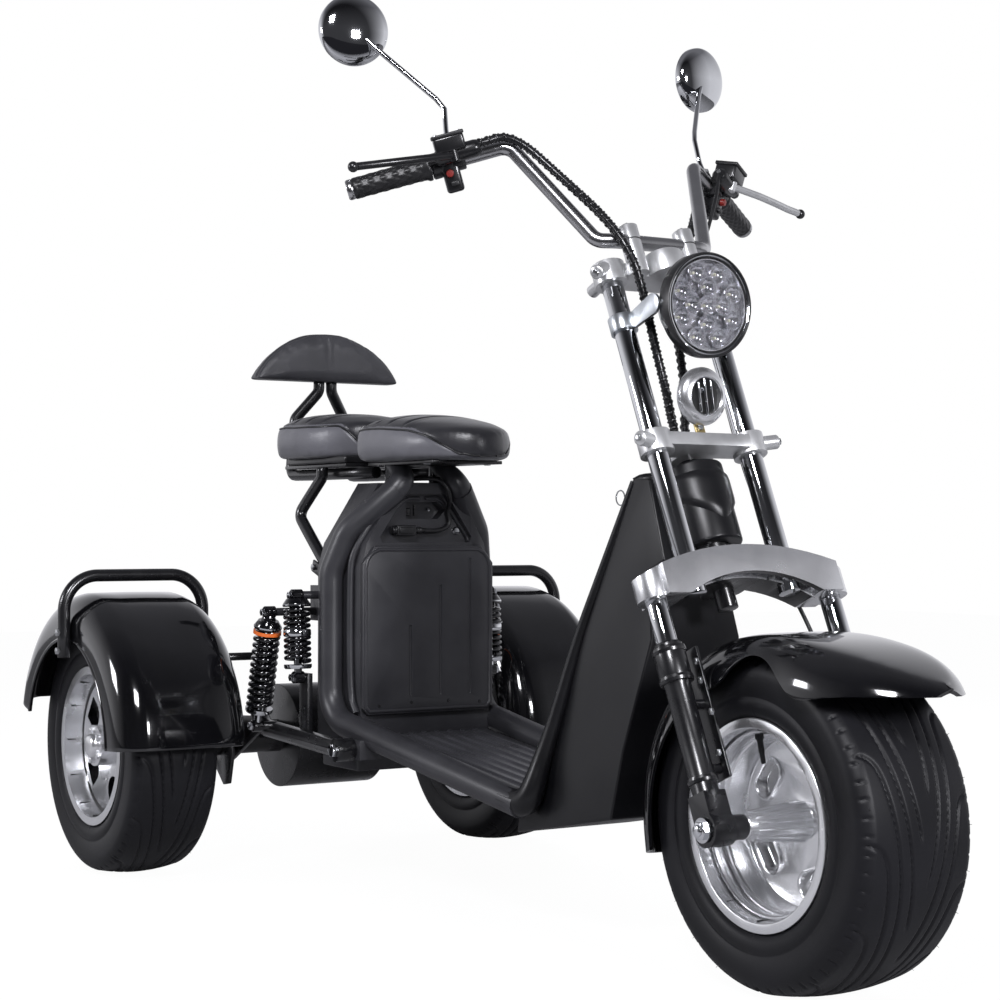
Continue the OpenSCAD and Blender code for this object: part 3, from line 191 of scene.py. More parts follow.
scooter_middle = Vector((0, 0, 0.55))
lamp_rows = (
    ("key_box", (2.6, -2.6, 3.0), 130.0, 0.85, True),
    ("side_box", (-1.4, -3.6, 1.7), 45.0, 0.7, True),
    ("front_box", (4.4, -0.2, 1.7), 130.0, 0.7, True),
    ("back_box", (-2.6, 2.4, 2.6), 60.0, 1.6, False),
)
for lamp_name, lamp_place, watts, side, mirrored in lamp_rows:
    lamp = bpy.data.lights.new(lamp_name, "AREA")
    lamp.energy, lamp.size, lamp.color = watts, side, cool_white
    box = bpy.data.objects.new(lamp_name, lamp)
    aim = scooter_middle - Vector(lamp_place)
    box.matrix_world = Matrix.Translation(lamp_place) @ aim.to_track_quat("-Z", "Y").to_matrix().to_4x4()
    box.visible_glossy = mirrored
    scene.collection.objects.link(box)


# Tyres: wide low rubber casings, moulded with long hooked grooves that run in towards the middle,
# and short cuts round the shoulders. Each is pressed on its rim and turns with it.
def drifting(place, shader, dark, light, scale, detail, low_rough, swing):
    """Lets a finish's colour and roughness drift together over the surface."""
    drift = place.noise(scale, detail)
    drift.ramp(0.3, 0.72, dark, light).into(shader, "Base Color")
    (drift * swing + low_rough).into(shader, "Roughness")


def worked(name, dark, light, scale, rough, swing=0.12, grain=None, **values):
    """A finish that drifts about a roughness, with a fine grain (scale, strength, depth)."""
    made, shader, place = finish(name, **values)
    drifting(place, shader, dark, light, scale, 5.0, rough - swing / 2, swing)
    if grain:
        place.noise(grain[0], 3.0).bump(shader, grain[1], grain[2])
    return made


def piece(name, bm, materials, body, replaced=(), sharp=35.0):
    """Makes a finished mesh object that rides on a body and stands for CAD nodes."""
    mesh = bpy.data.meshes.new(name)
    bm.to_mesh(mesh)
    bm.free()
    mesh.polygons.foreach_set("use_smooth", [True] * len(mesh.polygons))
    mesh.set_sharp_from_angle(angle=math.radians(sharp))
    for material in materials if isinstance(materials, (list, tuple)) else [materials]:
        mesh.materials.append(material)
    made = bpy.data.objects.new(name, mesh)
    scene.collection.objects.link(made)
    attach(made, body)
    if replaced:
        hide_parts(*replaced)
    return made


def corners(node):
    """The lowest and highest corners of a node."""
    return [Vector(corner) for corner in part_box(node)]


def spun(rows, steps=48):
    """A profile of (radius, height) rows in millimetres, turned about Z."""
    part = bmesh.new()
    verts = [part.verts.new((r / 1000, 0, h / 1000)) for r, h in rows]
    edges = [part.edges.new(pair) for pair in zip(verts, verts[1:])]
    bmesh.ops.spin(part, geom=verts + edges, cent=(0, 0, 0), axis=(0, 0, 1), dvec=(0, 0, 0), angle=math.tau,
                   steps=steps, use_merge=True, use_duplicate=False)
    return part


def merged(bm, part, matrix=None, tag=0):
    """Closes a part, turns its faces outwards, places it and adds it to a larger mesh."""
    bmesh.ops.remove_doubles(part, verts=part.verts, dist=1e-6)
    bmesh.ops.recalc_face_normals(part, faces=part.faces)
    if matrix:
        bmesh.ops.transform(part, matrix=matrix, verts=part.verts)
        if matrix.determinant() < 0:
            bmesh.ops.reverse_faces(part, faces=part.faces)
    for face in part.faces:
        face.material_index = tag
    mesh = bpy.data.meshes.new("part")
    part.to_mesh(mesh)
    part.free()
    bm.from_mesh(mesh)
    bpy.data.meshes.remove(mesh)


def joined(*parts):
    """One mesh of several parts, each with its place and the number of its finish."""
    bm = bmesh.new()
    for part in parts:
        merged(bm, *part)
    return bm


def aimed(place, way):
    """A frame at a place with its Z along a way."""
    return Matrix.Translation(place) @ Vector(way).to_track_quat("Z", "X").to_matrix().to_4x4()


rubber = worked("tyre_rubber", (0.004, 0.004, 0.005), (0.008, 0.008, 0.01), 9.0, 0.46, 0.14, (420.0, 0.1, 0.0005),
                Specular_IOR_Level=0.22)
bead_r, lip_r, crown_drop, corner_rows = 0.1273, 0.1413, 0.0076, 9
groove_count, groove_deep, hook_l = 12, 0.0032, 0.009
cut_pitch, cut_deep, cut_w = 0.024, 0.0022, 0.0015
whisker_count, worn_below = 46, -0.93
tread_rows = (
    ("tyre_front", "front_wheel", 560, 0.0015, 0.36, 0.0042),
    ("tyre_rear_right", "rear_wheel_right", 480, 0.0018, 0.32, 0.0044),
    ("tyre_rear_left", "rear_wheel_left", 480, 0.0018, 0.32, 0.0044),
)
for node, body, steps, row_gap, groove_l, groove_w in tread_rows:
    low, high = corners(node)
    middle, half_w, tyre_r = (low + high) / 2, (high.y - low.y) / 2, (high.z - low.z) / 2
    round_r = half_w * 2 / 7
    side = [(bead_r, half_w - 0.0103), (lip_r, half_w - 0.0103), (lip_r + 0.0022, half_w - 0.006)]
    side += [(0.149, half_w - 0.0022), (0.158, half_w), (0.166, half_w - 0.0006), (0.1675, half_w - 0.0016)]
    side += [(0.170, half_w - 0.0016), (0.1715, half_w - 0.0004)]
    for i in range(corner_rows + 1):
        lean = math.radians(90 - 70 * i / corner_rows)
        side.append((tyre_r - round_r - 0.006 + round_r * math.cos(lean), half_w - round_r + round_r * math.sin(lean)))
    edge = side[-1][1]
    rows = int(edge / row_gap)
    for i in range(1, rows + 1):
        across = edge * (1 - i / rows)
        side.append((tyre_r - crown_drop * (across / edge) ** 2, across))
    profile = np.array(side + [(r, -y) for r, y in reversed(side[:-1])])
    reach, sideways = np.repeat(profile[:, 0], steps), np.repeat(profile[:, 1], steps)
    turn = np.tile(np.arange(steps) * math.tau / steps, len(profile))
    across = np.abs(sideways)
    girth = math.tau * tyre_r
    pitch = girth / groove_count
    along = -turn * tyre_r + np.where(sideways > 0, pitch / 2, 0.0)
    depth = np.zeros(len(reach))
    hook_out, hook_in, run_end = half_w * 0.87, half_w * 0.66, half_w * 0.08
    for k in range(groove_count):
        run = np.mod(along - k * pitch, girth)
        share = np.clip(1 - run / groove_l, 0, 1)
        bend = (hook_out - hook_in) * np.exp(-run / hook_l)
        line = run_end + (hook_in - run_end) * share + bend
        slope = bend / hook_l + (hook_in - run_end) / groove_l
        gap = np.abs(across - line) / np.sqrt(1 + slope ** 2)
        wide = groove_w * (0.9 + 0.3 * share ** 3) / 2
        groove = groove_deep * np.exp(-(gap / wide) ** 2) * np.clip(share / 0.04, 0, 1)
        depth = np.maximum(depth, np.where(run < groove_l, groove, 0.0))
    cuts = int(girth / cut_pitch)
    cut_gap = np.abs(np.mod(along, girth / cuts) - girth / cuts / 2)
    shoulder = (across > half_w * 0.86) & (reach > tyre_r - round_r * 0.62)
    depth = np.maximum(depth, np.where(shoulder, cut_deep * np.clip(1.5 - cut_gap / cut_w, 0, 1), 0.0))
    reach = reach - depth
    spots = np.stack((reach * np.cos(turn), sideways, reach * np.sin(turn)), axis=1) + np.array(middle)
    ring = np.arange(steps)
    after = (ring + 1) % steps
    starts = np.arange(len(profile))[:, None] * steps
    nexts = np.roll(starts, -1, axis=0)
    quads = np.stack((starts + ring, starts + after, nexts + after, nexts + ring), axis=2).reshape(-1, 4)
    casing = bpy.data.meshes.new("casing")
    casing.from_pydata(spots.tolist(), [], quads.tolist())
    bm = bmesh.new()
    bm.from_mesh(casing)
    bpy.data.meshes.remove(casing)
    bmesh.ops.recalc_face_normals(bm, faces=bm.faces)
    # Whiskers of rubber that the mould's vents leave round the shoulders, gone where the tyre stands
    hairs = bmesh.new()
    for k in range(whisker_count):
        spin_at = math.tau * (k + 0.5) / whisker_count
        if math.sin(spin_at) < worn_below:
            continue
        out = Vector((math.cos(spin_at), 0, math.sin(spin_at)))
        lean = Vector((0, -0.5 if k % 2 else 0.5, 0))
        root = middle + out * (tyre_r - 0.012) + lean * half_w * 1.72
        merged(hairs, spun([(0, -1), (0.5, 0), (0.15, 5.5), (0, 5.5)], 4), aimed(root, out + lean))
    merged(bm, hairs)
    piece(node + "_tread", bm, rubber, body, (node,), 50.0)

# Front rim: one polished casting with a deep stepped barrel, a web with five bordered windows and a long
# ribbed hub. The rubber valve stands in the barrel, and the drilled disc is bolted to the hub's left end.
WHEELBASE, AXLE_UP = 1402, 228
front_hub = at(WHEELBASE, 0, AXLE_UP)


def aside(y):
    """A step to the left, in millimetres."""
    return Vector((0, y / 1000, 0))


def solid(node):
    """A copy of a CAD node with its loose triangles merged."""
    bm = bmesh.new()
    bm.from_mesh(frame["nodes"][node].data)
    bmesh.ops.remove_doubles(bm, verts=bm.verts, dist=2e-5)
    return bm


def sharp_edges(bm, degrees):
    return [e for e in bm.edges if e.is_manifold and e.calc_face_angle() > math.radians(degrees)]


def rounded(bm, edges, radius, segments=2, clamp=False):
    """Rounds edges off at a radius in metres."""
    bmesh.ops.bevel(bm, geom=edges, offset=radius, offset_type="OFFSET", affect="EDGES", segments=segments,
                    profile=0.5, material=-1, clamp_overlap=clamp)


def body_of(node):
    return next(b for b, members in frame["record"]["behaviour"]["bodies"].items() if node in members)


def dress(node, materials, radius=0.001, sharp=38.0, segments=2, pick=None, extra=()):
    """Dresses a solid: rounded edges, its finish, a second finish where pick says, and added parts."""
    bm = solid(node)
    bmesh.ops.dissolve_limit(bm, angle_limit=math.radians(1.0), use_dissolve_boundaries=False, verts=bm.verts,
                             edges=bm.edges, delimit=set())
    if radius:
        rounded(bm, sharp_edges(bm, sharp), radius, segments, True)
    if pick:
        for face in bm.faces:
            face.material_index = pick(face.calc_center_median(), face.normal)
    for part in extra:
        merged(bm, *part)
    return piece(node + "_body", bm, materials, body_of(node), (node,))


def tube(points, radius, sides=12, ring=False):
    """A round bar through points, in metres. A fourth number of a point is its own radius."""
    curve = bpy.data.curves.new("run", "CURVE")
    curve.dimensions = "3D"
    spline = curve.splines.new("POLY")
    spline.points.add(len(points) - 1)
    for knot, point in zip(spline.points, points):
        knot.co = (*point[:3], 1)
        knot.radius = point[3] / radius if len(point) > 3 else 1.0
    spline.use_cyclic_u = ring
    curve.bevel_depth = radius
    curve.bevel_resolution = max(0, sides // 2 - 2)
    curve.use_fill_caps = not ring
    holder = bpy.data.objects.new("run", curve)
    mesh = bpy.data.meshes.new_from_object(holder)
    part = bmesh.new()
    part.from_mesh(mesh)
    bpy.data.objects.remove(holder)
    bpy.data.curves.remove(curve)
    bpy.data.meshes.remove(mesh)
    return part


polished = worked("polished_casting", (0.76, 0.765, 0.78), (0.84, 0.845, 0.86), 26.0, 0.26, 0.08, (900.0, 0.05, 0.0003),
                  Metallic=0.92)
window_count, window_out, window_r, window_half, web_half = 5, 84, 17, 11, 9.4
stadium = [(window_r, window_half)]
stadium += [(window_r * math.cos(t), window_half + window_r * math.sin(t)) for t in np.linspace(0.2, math.pi - 0.2, 9)]
stadium += [(-window_r, window_half), (-window_r, -window_half)]
stadium += [(-window_r * math.cos(t), -window_half - window_r * math.sin(t)) for t in np.linspace(0.2, 2.94, 9)]
stadium += [(window_r, -window_half)]
front_extra = []
for k in range(window_count):
    spin_at = Matrix.Translation(front_hub) @ Matrix.Rotation(math.tau * k / window_count, 4, "Y")
    for y in (-web_half, web_half):
        border = [spin_at @ Vector(((window_out + a * 1.12) / 1000, y / 1000, b * 1.08 / 1000)) for a, b in stadium]
        front_extra.append((tube(border, 0.0026, 10, True),))
rib_count = 12
for k in range(rib_count):
    way = Matrix.Rotation(math.tau * (k + 0.5) / rib_count, 4, "Y") @ Vector((1, 0, 0))
    for side in (-1, 1):
        rib = [front_hub + way * (r / 1000) + aside(side * y) for r, y in ((26.5, 9), (24.6, 30), (18.6, 96))]
        front_extra.append((tube(rib, 0.0019, 8),))
for side in (-1, 1):
    for y, r in ((24, 117.5), (46, 118.5), (66, 120)):
        step = [(r + 2.5, -5), (r + 0.4, -5), (r - 0.6, -3), (r - 0.6, 3), (r + 0.4, 5), (r + 2.5, 5), (r + 2.5, -5)]
        front_extra.append((spun(step, 96), aimed(front_hub + aside(side * y), (0, 1, 0))))
dress("rim_front", polished, 0.0016, extra=front_extra)

moulded = worked("moulded_rubber", (0.005, 0.005, 0.006), (0.01, 0.01, 0.011), 40.0, 0.4, 0.1, (300.0, 0.1, 0.0004))
valve = [(0, 0), (6, 0), (6, 6), (4.2, 9), (4.2, 24), (3.4, 26), (3.4, 38), (2.6, 40), (0, 40)]
valve_way = Matrix.Rotation(math.radians(-104), 4, "Y") @ Vector((1, 0, 0))
valve_foot = aimed(front_hub + valve_way * 0.1195 + aside(-58), -valve_way)
piece("valve_stem", joined((spun(valve, 20), valve_foot)), moulded, "front_wheel")

steel = worked("bright_steel", (0.42, 0.43, 0.44), (0.58, 0.59, 0.6), 60.0, 0.3, 0.2, Metallic=1.0)


def hex_head(r, h):
    """A six-sided bolt head with its upper edges turned down."""
    part = bmesh.new()
    bmesh.ops.create_cone(part, cap_ends=True, segments=6, radius1=r / 1000, radius2=r / 1000, depth=h / 1000)
    rounded(part, [e for e in part.edges if all(v.co.z > 0 for v in e.verts)], r / 6000)
    return part


def bolt_circle(hub, side, reach, out, first, height, count=5):
    """Bolt heads round a hub, in millimetres out from it and to its side."""
    spot = Vector((reach / 1000, side * out / 1000, 0))
    turns = (Matrix.Rotation(math.tau * k / count + first, 3, "Y") for k in range(count))
    return [(hex_head(6, height), aimed(hub + spin @ spot, (0, side, 0))) for spin in turns]


dress("brake_disc_front", steel, 0.0004, extra=bolt_circle(front_hub, 1, 26, 115.5, 0.6, 5))

# Rear rims: polished castings whose five pockets are painted gloss black, with a flat bright lip.
# A pressed cap closes each hub inside a ring of five nuts.
gloss = worked("gloss_black", (0.002, 0.002, 0.0025), (0.004, 0.004, 0.005), 12.0, 0.1, 0.06, Coat_Weight=0.7,
               Coat_Roughness=0.04)
pocket_in, pocket_out, pocket_floor = 0.040, 0.124, 0.040
for node, side in (("rim_rear_right", -1), ("rim_rear_left", 1)):
    low, high = corners(node)
    hub = (low + high) / 2

    def pocket(place, normal, hub=hub, side=side):
        reach = math.hypot(place.x - hub.x, place.z - hub.z)
        deep = (place.y - hub.y) * side
        return int(pocket_in < reach < pocket_out and (deep < pocket_floor or abs(normal.y) < 0.5))

    cap = spun([(0, 9), (14, 8.4), (20, 6), (22, 0), (22, -4), (0, -4)], 40)
    hub_parts = [(cap, aimed(hub + aside(side * 70.5), (0, side, 0)))] + bolt_circle(hub, side, 28, 69.5, 0.63, 6)
    dress(node, (polished, gloss), 0.0, pick=pocket, extra=hub_parts)

# Fork legs: black painted sliders on bright stanchions, standing on the axle, which ends in plated nuts.
# All of the fork leans back by its rake, so its parts are placed along it from the axle.
RAKE, LEG_Y = math.radians(24), 154
FORK = Matrix.Translation(front_hub) @ Matrix.Rotation(-RAKE, 4, "Y")


def on_fork(x, y, z):
    """A place in millimetres ahead of the fork's plane, to the left and up along the fork."""
    return FORK @ Vector((x / 1000, y / 1000, z / 1000))


def along_fork(x, y, z):
    """A way given in the fork's frame."""
    return FORK.to_3x3() @ Vector((x, y, z))


fork_up = along_fork(0, 0, 1)
satin = worked("satin_black", (0.004, 0.004, 0.005), (0.009, 0.009, 0.01), 22.0, 0.28, 0.12, Coat_Weight=0.3,
               Coat_Roughness=0.14)
chrome = worked("chrome_plate", (0.62, 0.63, 0.65), (0.74, 0.75, 0.77), 14.0, 0.05, 0.06, Metallic=1.0)
leg_extra, nut_extra = [], []
for side in (-1, 1):
    for up, r in ((66, 20.2), (205, 23.2), (246, 22.8)):
        band = spun([(r - 3, -5), (r, -4), (r + 0.8, 0), (r, 4), (r - 3, 5)], 40)
        leg_extra.append((band, aimed(on_fork(0, side * LEG_Y, up), fork_up)))
    wiper = spun([(15.2, -4), (20, -4), (20, 2), (17.5, 5), (15.2, 5.5)], 40)
    leg_extra.append((wiper, aimed(on_fork(0, side * LEG_Y, 252), fork_up)))
    axle_end = aimed(front_hub + aside(side * 177.5), (0, side, 0))
    nut_extra.append((hex_head(13, 11), axle_end, 1))
    nut_extra.append((spun([(0, -6), (8, -6), (8, 8), (6.6, 9.5), (0, 9.5)], 24), axle_end, 1))
    nut_extra.append((spun([(8, -3), (16.5, -3), (16.5, -0.6), (8, -0.6)], 32), axle_end, 1))
dress("fork_sliders", satin, 0.0014, segments=3, extra=leg_extra)
dress("stanchions", chrome, 0.0008)
dress("front_axle", (satin, chrome), 0.001, extra=nut_extra)

# Crown: a heavy polished arch that holds both legs, hollow below, with its bolts coming up from under.
# The upper tubes run from it to the clamps, bright all the way.
hollow_from, hollow_half = 0.320, 0.112
crown_extra = [(hex_head(5, 5), aimed(on_fork(14, y, 345), -fork_up), 2) for y in (-46, 46)]


def crown_hollow(place, normal):
    spot = FORK.inverted() @ place
    facing_down = (FORK.to_3x3().inverted() @ normal).z < -0.3
    return int(facing_down and spot.z > hollow_from and abs(spot.y) < hollow_half)


dress("fork_crown", (polished, satin, steel), 0.0035, segments=3, pick=crown_hollow,
      extra=crown_extra)
dress("upper_tubes", chrome, 0.0008)
dress("steering_stem", satin, 0.001)

# Clamps: silver painted alloy plates that pinch the upper tubes, with bosses for their bolts.
# Split risers on the top one hold the handlebar under two caps.
silver = worked("silver_paint", (0.58, 0.585, 0.59), (0.7, 0.705, 0.71), 30.0, 0.34, 0.14, (240.0, 0.06, 0.0004),
                Metallic=0.8)
# Matte black that paints the shade in gaps and hollows: the split of each riser and the mouth of the horn.
dark_gap = worked("dark_gap", (0.004, 0.004, 0.004), (0.008, 0.008, 0.008), 30.0, 0.6)
boss_y, riser_y, bar_x, bar_z, cap_z = 108, 50, 26, 872, 899
for node, low, tilt, has_risers in (("lower_clamp", 540, 0, False), ("top_clamp", 812, -0.45, True)):
    extra = []
    for side in (-1, 1):
        pinch = along_fork(0.25, side * 0.8, tilt)
        boss = spun([(0, -16), (9, -16), (10.5, -14), (10.5, 15), (9, 17), (0, 17)], 28)
        boss_place = on_fork(14, side * boss_y, low + 16)
        extra.append((boss, aimed(boss_place, pinch)))
        extra.append((hex_head(5.5, 5), aimed(boss_place + pinch.normalized() * 0.019, pinch), 1))
        if has_risers:
            # A thin band round the bar at the riser's split is painted shade in the gap.
            split = spun([(14.6, -0.8), (15.5, -0.8), (15.5, 0.8), (14.6, 0.8)], 36)
            extra.append((split, aimed(on_fork(bar_x, side * riser_y, bar_z), fork_up), 2))
            extra.append((hex_head(6.5, 6), aimed(on_fork(bar_x, side * riser_y, cap_z), fork_up), 1))
    dress(node, (silver, steel, dark_gap), 0.003, segments=3, extra=extra)

# Handlebar: one brushed steel tube, bent up, back and out from the risers to the grips.
# Its two halves mirror each other, and all its bends have one radius.
brushed = worked("brushed_tube", (0.46, 0.46, 0.47), (0.56, 0.56, 0.57), 18.0, 0.24, 0.1, Metallic=1.0)
BAR_BEND, BAR_END = Vector((930, 172, 1186)), Vector((810, 368, 1121))


def bent(points, radius, steps=9):
    """A route with each corner turned at a radius."""
    run = [points[0]]
    for a, b, c in zip(points, points[1:], points[2:]):
        back_way, on_way = (a - b).normalized(), (c - b).normalized()
        half = back_way.angle(on_way) / 2
        middle = b + (back_way + on_way).normalized() * (radius / math.sin(half))
        first, last = b + back_way * (radius / math.tan(half)), b + on_way * (radius / math.tan(half))
        run += [middle + (first - middle).slerp(last - middle, k / steps) * radius for k in range(steps + 1)]
    return run + [points[-1]]


def sided(v, side):
    """A vector of the left half, kept there (1) or mirrored to the right (-1)."""
    return Vector((v.x, side * v.y, v.z))


bar_half = [on_fork(bar_x, 76, bar_z), at(1053, 99, 1036), at(*BAR_BEND), at(*BAR_END)]
bar_route = bent([sided(p, -1) for p in reversed(bar_half)] + bar_half, 0.024)
piece("handlebar_tube", joined((tube(bar_route, 0.011, 32),)), brushed, "steering", ("handlebar",), 60.0)

# Grips: black rubber sleeves with a raised lattice, pushed on the bar's ends up to a flange.
# A bright weight closes each end.
bar_way = (BAR_END - BAR_BEND).normalized()
bar_fore = (Vector((1, 0, 0)) - bar_way * bar_way.x).normalized()
bar_up = bar_fore.cross(bar_way)


def on_side(point, side):
    """A place in millimetres by the left half of the bar, or its mirror image."""
    return at(point.x, side * point.y, point.z)


def bar_frame(side):
    """The frame of a grip: X up, Y forward, Z outward, from the bar's end."""
    turned = Matrix([sided(v, side) for v in (bar_up, bar_fore, bar_way)]).transposed().to_4x4()
    return Matrix.Translation(on_side(BAR_END, side)) @ turned


lattice_from, lattice_to, lattice_turns, lattice_lead = -104, -5, 5, 0.17
for node, side in (("grip_right", -1), ("grip_left", 1)):
    rows = [(11.2, -118), (18.5, -118), (19.5, -116.5), (19.5, -113), (17.2, -109), (16.6, -104)]
    rows += [(16.4 - i * 0.008, -103 + i) for i in range(98)]
    rows += [(16.2, -4), (15.9, -1), (15.2, 0.5), (11.2, 0.5)]
    sleeve = spun(rows, 80)
    for vert in sleeve.verts:
        z = vert.co.z * 1000
        if lattice_from < z < lattice_to and vert.co.xy.length > 0.015:
            spin_at = math.atan2(vert.co.y, vert.co.x) * lattice_turns
            weave = abs(math.sin(spin_at + z * lattice_lead) * math.sin(spin_at - z * lattice_lead))
            vert.co.xy = vert.co.xy * (1 + 0.055 * weave - 0.02)
    weight = spun([(0, 0.6), (14.4, 0.6), (15.4, 2), (15.4, 8), (13.6, 10.5), (0, 11)], 40)
    bm = joined((sleeve, bar_frame(side)), (weight, bar_frame(side), 1))
    piece(node + "_sleeve", bm, (moulded, brushed), "steering", (node,), 50.0)


# Controls: a hinged lever and a brake cylinder with its square fluid cup on each clamp, a switch housing
# beside the grip and a horn and lamp pod below. The left lever is bare alloy, the right one painted.
def mm(x, y, z):
    """A shift in millimetres."""
    return Matrix.Translation((x / 1000, y / 1000, z / 1000))


def block(x, y, z, radius=2.0, segments=3):
    """A solid block in millimetres with rounded edges."""
    part = bmesh.new()
    bmesh.ops.create_cube(part, size=1.0, matrix=Matrix.Diagonal((x / 1000, y / 1000, z / 1000, 1)))
    rounded(part, part.edges, radius / 1000, segments)
    return part


TURN_FORE = Matrix.Rotation(math.radians(-90), 4, "X")
TURN_UP = Matrix.Rotation(math.radians(90), 4, "Y")
mirror_base = BAR_END - bar_way * (144.3 + 11)
mirror_way = (bar_up * 30 - bar_fore * 22).normalized()
mirror_foot = mirror_base + mirror_way * math.hypot(30, 22)
pivot, lever_tip = mirror_base + bar_fore * 34 + bar_up * 8, Vector((900, 418, 1136))
lever_bow = ((0.12, 3), (0.35, 7), (0.6, 4), (0.82, -1))
lever_run = [pivot] + [pivot.lerp(lever_tip, share) + bar_fore * bow for share, bow in lever_bow]
lever_run.append(lever_tip - (lever_tip - pivot).normalized() * 6)
lever_ball = [(8 * math.sin(t), -8 * math.cos(t)) for t in np.linspace(0, math.pi, 11)]
housing = [(11.2, -146), (17, -146), (19.5, -144), (19.5, -133), (18.9, -132.6), (18.9, -132), (19.5, -131.6)]
housing += [(19.5, -121), (17, -119), (11.2, -119)]
bar_clamp = [(11.2, -170), (15, -170), (16, -168.5), (16, -149), (15, -147.5), (11.2, -147.5)]
cylinder = [(0, -36), (9, -36), (12, -33), (13, -28), (13, 26), (11, 30), (7, 34), (7, 44), (0, 44)]
lid_screw = [(0, 1.6), (3, 1.2), (3.4, 0), (0, 0)]
push_button = [(0, 5), (5, 4.4), (6, 2), (6, -2), (0, -2)]
lever_pin = [(0, -9), (7, -9), (8, -8), (8, 8), (7, 9), (0, 9)]
mirror_boss = [(0, 0), (9, 0), (9, 26), (7.5, 28), (0, 28)]
button_red = worked("switch_button", (0.16, 0.012, 0.01), (0.2, 0.016, 0.012), 60.0, 0.35)
for node, side, lever_finish in (("controls_right", -1, 0), ("controls_left", 1, 2)):
    local = bar_frame(side)
    foot_way = sided(mirror_way, side)
    bm = joined(
        (spun(housing, 40), local),
        (spun(bar_clamp, 36), local),
        (block(26, 14, 20, 3), local @ mm(4, 13, -159)),
        (spun(cylinder, 32), local @ mm(10, 26, -160)),
        (block(24, 36, 46, 4), local @ mm(26, 25, -153)),
        (block(6, 39, 49, 1.8), local @ mm(39, 25, -153), 1),
        (spun(lid_screw, 16), local @ mm(42, 14, -171) @ TURN_UP, 2),
        (spun(lid_screw, 16), local @ mm(42, 36, -135) @ TURN_UP, 2),
        (block(46, 30, 26, 5), local @ mm(-22, 4, -146)),
        (spun(push_button, 20), local @ mm(-16, 21, -143) @ TURN_FORE, 3),
        (block(7, 6, 12, 1.6), local @ mm(-32, 21, -147), 1),
        (block(5, 8, 9, 1.4), local @ mm(16, 20, -131), 1),
        (tube([on_side(p, side) for p in lever_run], 0.0058, 14), None, lever_finish),
        (spun(lever_ball, 20), Matrix.Translation(on_side(lever_tip, side))),
        (spun(lever_pin, 24), local @ mm(8, 34, -155.3) @ TURN_UP, lever_finish),
        (spun(mirror_boss, 24), aimed(on_side(mirror_base, side), foot_way)),
        (hex_head(9, 7), aimed(on_side(mirror_foot, side) - foot_way * 0.004, foot_way), 2),
    )
    piece(node + "_set", bm, (satin, moulded, silver, button_red), "steering", (node,))

# Mirrors: round chromed shells on thin bent stems, screwed into the clamps, with a silvered glass
# set in each rim on the rider's side.
glass_back = worked("silvered_glass", (0.8, 0.82, 0.84), (0.84, 0.86, 0.88), 5.0, 0.02, 0.01, Metallic=1.0)
mirror_x, mirror_y, mirror_z, turned_in = 742, 332, 1376, math.radians(12)
shell = [(50, -9.4), (52.5, -9.6), (54, -8), (54.3, -4), (54, 0)]
shell += [(54 * math.cos(t), 20 * math.sin(t)) for t in np.linspace(0.12, math.pi / 2, 14)]
knuckle = [(0, -8), (6, -8), (8, -5), (8, 5), (6, 8), (0, 8)]
for node, side in (("mirror_right", -1), ("mirror_left", 1)):
    place = at(mirror_x, side * mirror_y, mirror_z)
    ahead = Vector((math.cos(turned_in), side * math.sin(turned_in), 0))
    stem = [on_side(mirror_foot, side), on_side(mirror_foot + mirror_way * 16, side), at(850, side * 236, 1252)]
    stem += [at(mirror_x + 30, side * (mirror_y - 26), mirror_z - 34), place + ahead * 0.006]
    run = [stem[0]]
    for a, b in zip(stem, stem[1:]):
        run += [a.lerp(b, 0.12), a.lerp(b, 0.88)]
    run.append(stem[-1])
    knuckle_place = place - Vector((0, side * 0.020, 0.036)) + ahead * 0.006
    bm = joined((spun(shell, 72), aimed(place, ahead)),
                (spun([(0, -8.6), (30, -8.8), (50, -9.2)], 72), aimed(place, ahead), 1),
                (tube(run, 0.0041, 12),),
                (spun(knuckle, 24), aimed(knuckle_place, (0.3, 0, 1))))
    piece(node + "_head", bm, (chrome, glass_back), "steering", (node,))

# Headlamp: a black steel shell between two zinc ears. Thirteen bright cups, each with its own diode,
# stand behind one clear glass, which a chromed ring and a rubber bead hold in.
lamp_face = aimed(at(1191.97, 0, 935.76), (1, 0, 0))
zinc = worked("zinc_plate", (0.5, 0.53, 0.56), (0.66, 0.69, 0.72), 40.0, 0.3, 0.15, Metallic=1.0)
ear_from = 0.0756


def lamp_ear(place, normal):
    return int(abs(place.y) > ear_from)


dress("headlamp", (satin, zinc), 0.0012, pick=lamp_ear)
bead = [(72, -4), (72.6, 1), (73.6, 2.4), (74.8, 2), (75.6, -0.4), (75.6, -9), (74, -9)]
piece("headlamp_bead", joined((spun(bead, 96), lamp_face)), moulded, "steering")
ring = [(68, -5), (68.6, -1), (69.6, 0.8), (71.2, 1.4), (72.6, 0.4), (72.8, -3)]
piece("headlamp_ring", joined((spun(ring, 96), lamp_face)), chrome, "steering")
reflector = worked("bright_reflector", (0.72, 0.72, 0.76), (0.94, 0.94, 0.97), 70.0, 0.16, 0.14, Metallic=0.75)
diode = worked("diode", (0.66, 0.64, 0.5), (0.8, 0.78, 0.64), 90.0, 0.2, Emission_Color=(1, 0.97, 0.85, 1),
               Emission_Strength=0.1)
bm = joined((spun([(0, -14.2), (65, -14.2), (65.6, -1), (64.8, -1), (64, -13), (0, -13)], 72), lamp_face))
cup = [(3, 0.4), (6.5, 1), (10, 3.4), (12.4, 6.6), (13.6, 10), (14.4, 10), (13.8, 6.4), (11, 0)]
cup_rows = [(0, 0)] + [(27, math.tau * k / 4) for k in range(4)] + [(49.5, math.tau * (k + 0.5) / 8) for k in range(8)]
